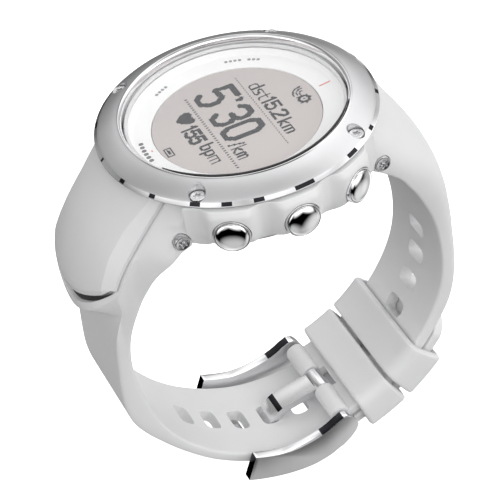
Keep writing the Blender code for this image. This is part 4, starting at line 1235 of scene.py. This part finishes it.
def inner_pieces():
    """Hidden pieces keep their CAD shape and take a finish."""
    finish = {"light_guide": "guide", "inner_chassis": "inner", "main_circuit_board": "board",
              "battery": "cell", "gps_antenna": "ceramic", "buzzer": "brass", "back_gasket": "dark_gasket_and_painted_shadow"}
    finish.update({"lug_insert_%d" % i: "brass" for i in range(1, 5)})
    for node, mat in finish.items():
        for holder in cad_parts[node].material_slots:
            holder.material = M[mat]


# ---- floor, light and camera
def stage():
    """Pale floor and the studio light."""
    scene = bpy.context.scene
    mat, nt, b = tree("floor_white")
    feed(nt, b, {"Base Color": (0.92, 0.92, 0.92, 1), "Roughness": 0.8,
                 "Emission Color": (1, 1, 1, 1), "Emission Strength": FLOOR_GLOW})
    far, lowest = 3000, cad_lo[2] / MM - 0.1
    corners = [(-far, -far, lowest), (far, -far, lowest), (far, far, lowest), (-far, far, lowest)]
    floor = mesh_object("floor", corners, [(0, 1, 2, 3)], (mat,), None, None)
    floor.visible_glossy = False
    floor.visible_diffuse = False
    world = bpy.data.worlds.new("studio")
    scene.world = world
    world.use_nodes = True
    background = world.node_tree.nodes["Background"]
    feed(world.node_tree, background, {"Color": (1, 1, 1, 1)})
    soft_boxes(world.node_tree, background)
    scene.view_settings.view_transform = "Standard"


def soft_boxes(nt, background):
    """Round soft boxes all round the watch, as light on the sky."""
    coord = nt.nodes.new("ShaderNodeTexCoord")
    unit = add(nt, "ShaderNodeVectorMath", {0: coord.outputs["Generated"]})
    unit.operation = "NORMALIZE"
    total = 0.0
    for azimuth, elevation, power in SOFT_BOXES:
        level, height = polar(1.0, elevation)
        middle = (*polar(level, azimuth), height)
        towards = add(nt, "ShaderNodeVectorMath", {0: unit.outputs["Vector"], 1: middle})
        towards.operation = "DOT_PRODUCT"
        given = {"From Min": BOX_EDGE, "From Max": 1.0, "Value": towards.outputs["Value"]}
        fall = add(nt, "ShaderNodeMapRange", given)
        fall.interpolation_type = "SMOOTHSTEP"
        total = scaled(nt, fall.outputs["Result"], power, total)
    feed(nt, background, {"Strength": total})


BOX_EDGE = math.cos(math.radians(34.0))     # each box fades out at 34 degrees from its middle
SOFT_BOXES = (                              # azimuth, elevation, brightness
    (140, 70, 0.95), (-85, 60, 0.40),       # overhead
    (20, 40, 1.10), (-30, 50, 0.55), (105, 45, 0.75), (-170, 50, 0.45), (160, 35, 0.65),        # high
    (40, 15, 1.70), (-10, 25, 1.30), (-65, 30, 0.85), (-95, 15, 1.25), (75, 30, 0.80),          # level
    (125, 20, 0.60), (-150, 25, 0.35), (180, 10, 0.15),
    (135, -40, 1.60), (50, -45, 0.80), (95, -25, 0.50), (-35, -55, 0.60), (-120, -60, 0.60),    # low
    (150, -80, 0.75),
)
FLOOR_GLOW = 1.0


def camera():
    """Camera at the angle and distance of the photo."""
    data = bpy.data.cameras.new("camera")
    data.sensor_width = 36.0
    data.lens = 180.0
    data.clip_start, data.clip_end = 0.01, 50.0
    ob = bpy.data.objects.new("camera", data)
    place = Vector((0.331877, -0.105685, 0.270523))
    right, up = Vector((0.40503, 0.90327, -0.14165)), Vector((-0.54344, 0.36242, 0.75718))
    back = right.cross(up).normalized()
    up = back.cross(right).normalized()
    turn = Matrix((right.normalized(), up, back)).transposed().to_4x4()
    ob.matrix_world = Matrix.Translation(place) @ turn
    bpy.context.scene.collection.objects.link(ob)
    bpy.context.scene.camera = ob


case_shell()
bezel()
screws()
display()
readout()
printed_marks()
buttons()
strap_twelve()
strap_six()
antenna_cover()
buckle_frame()
buckle_tang()
spring_bar()
for number, (centre, span) in enumerate(KEEPERS, 1):
    keeper(number, centre, span)
case_back()
inner_pieces()
stage()
camera()
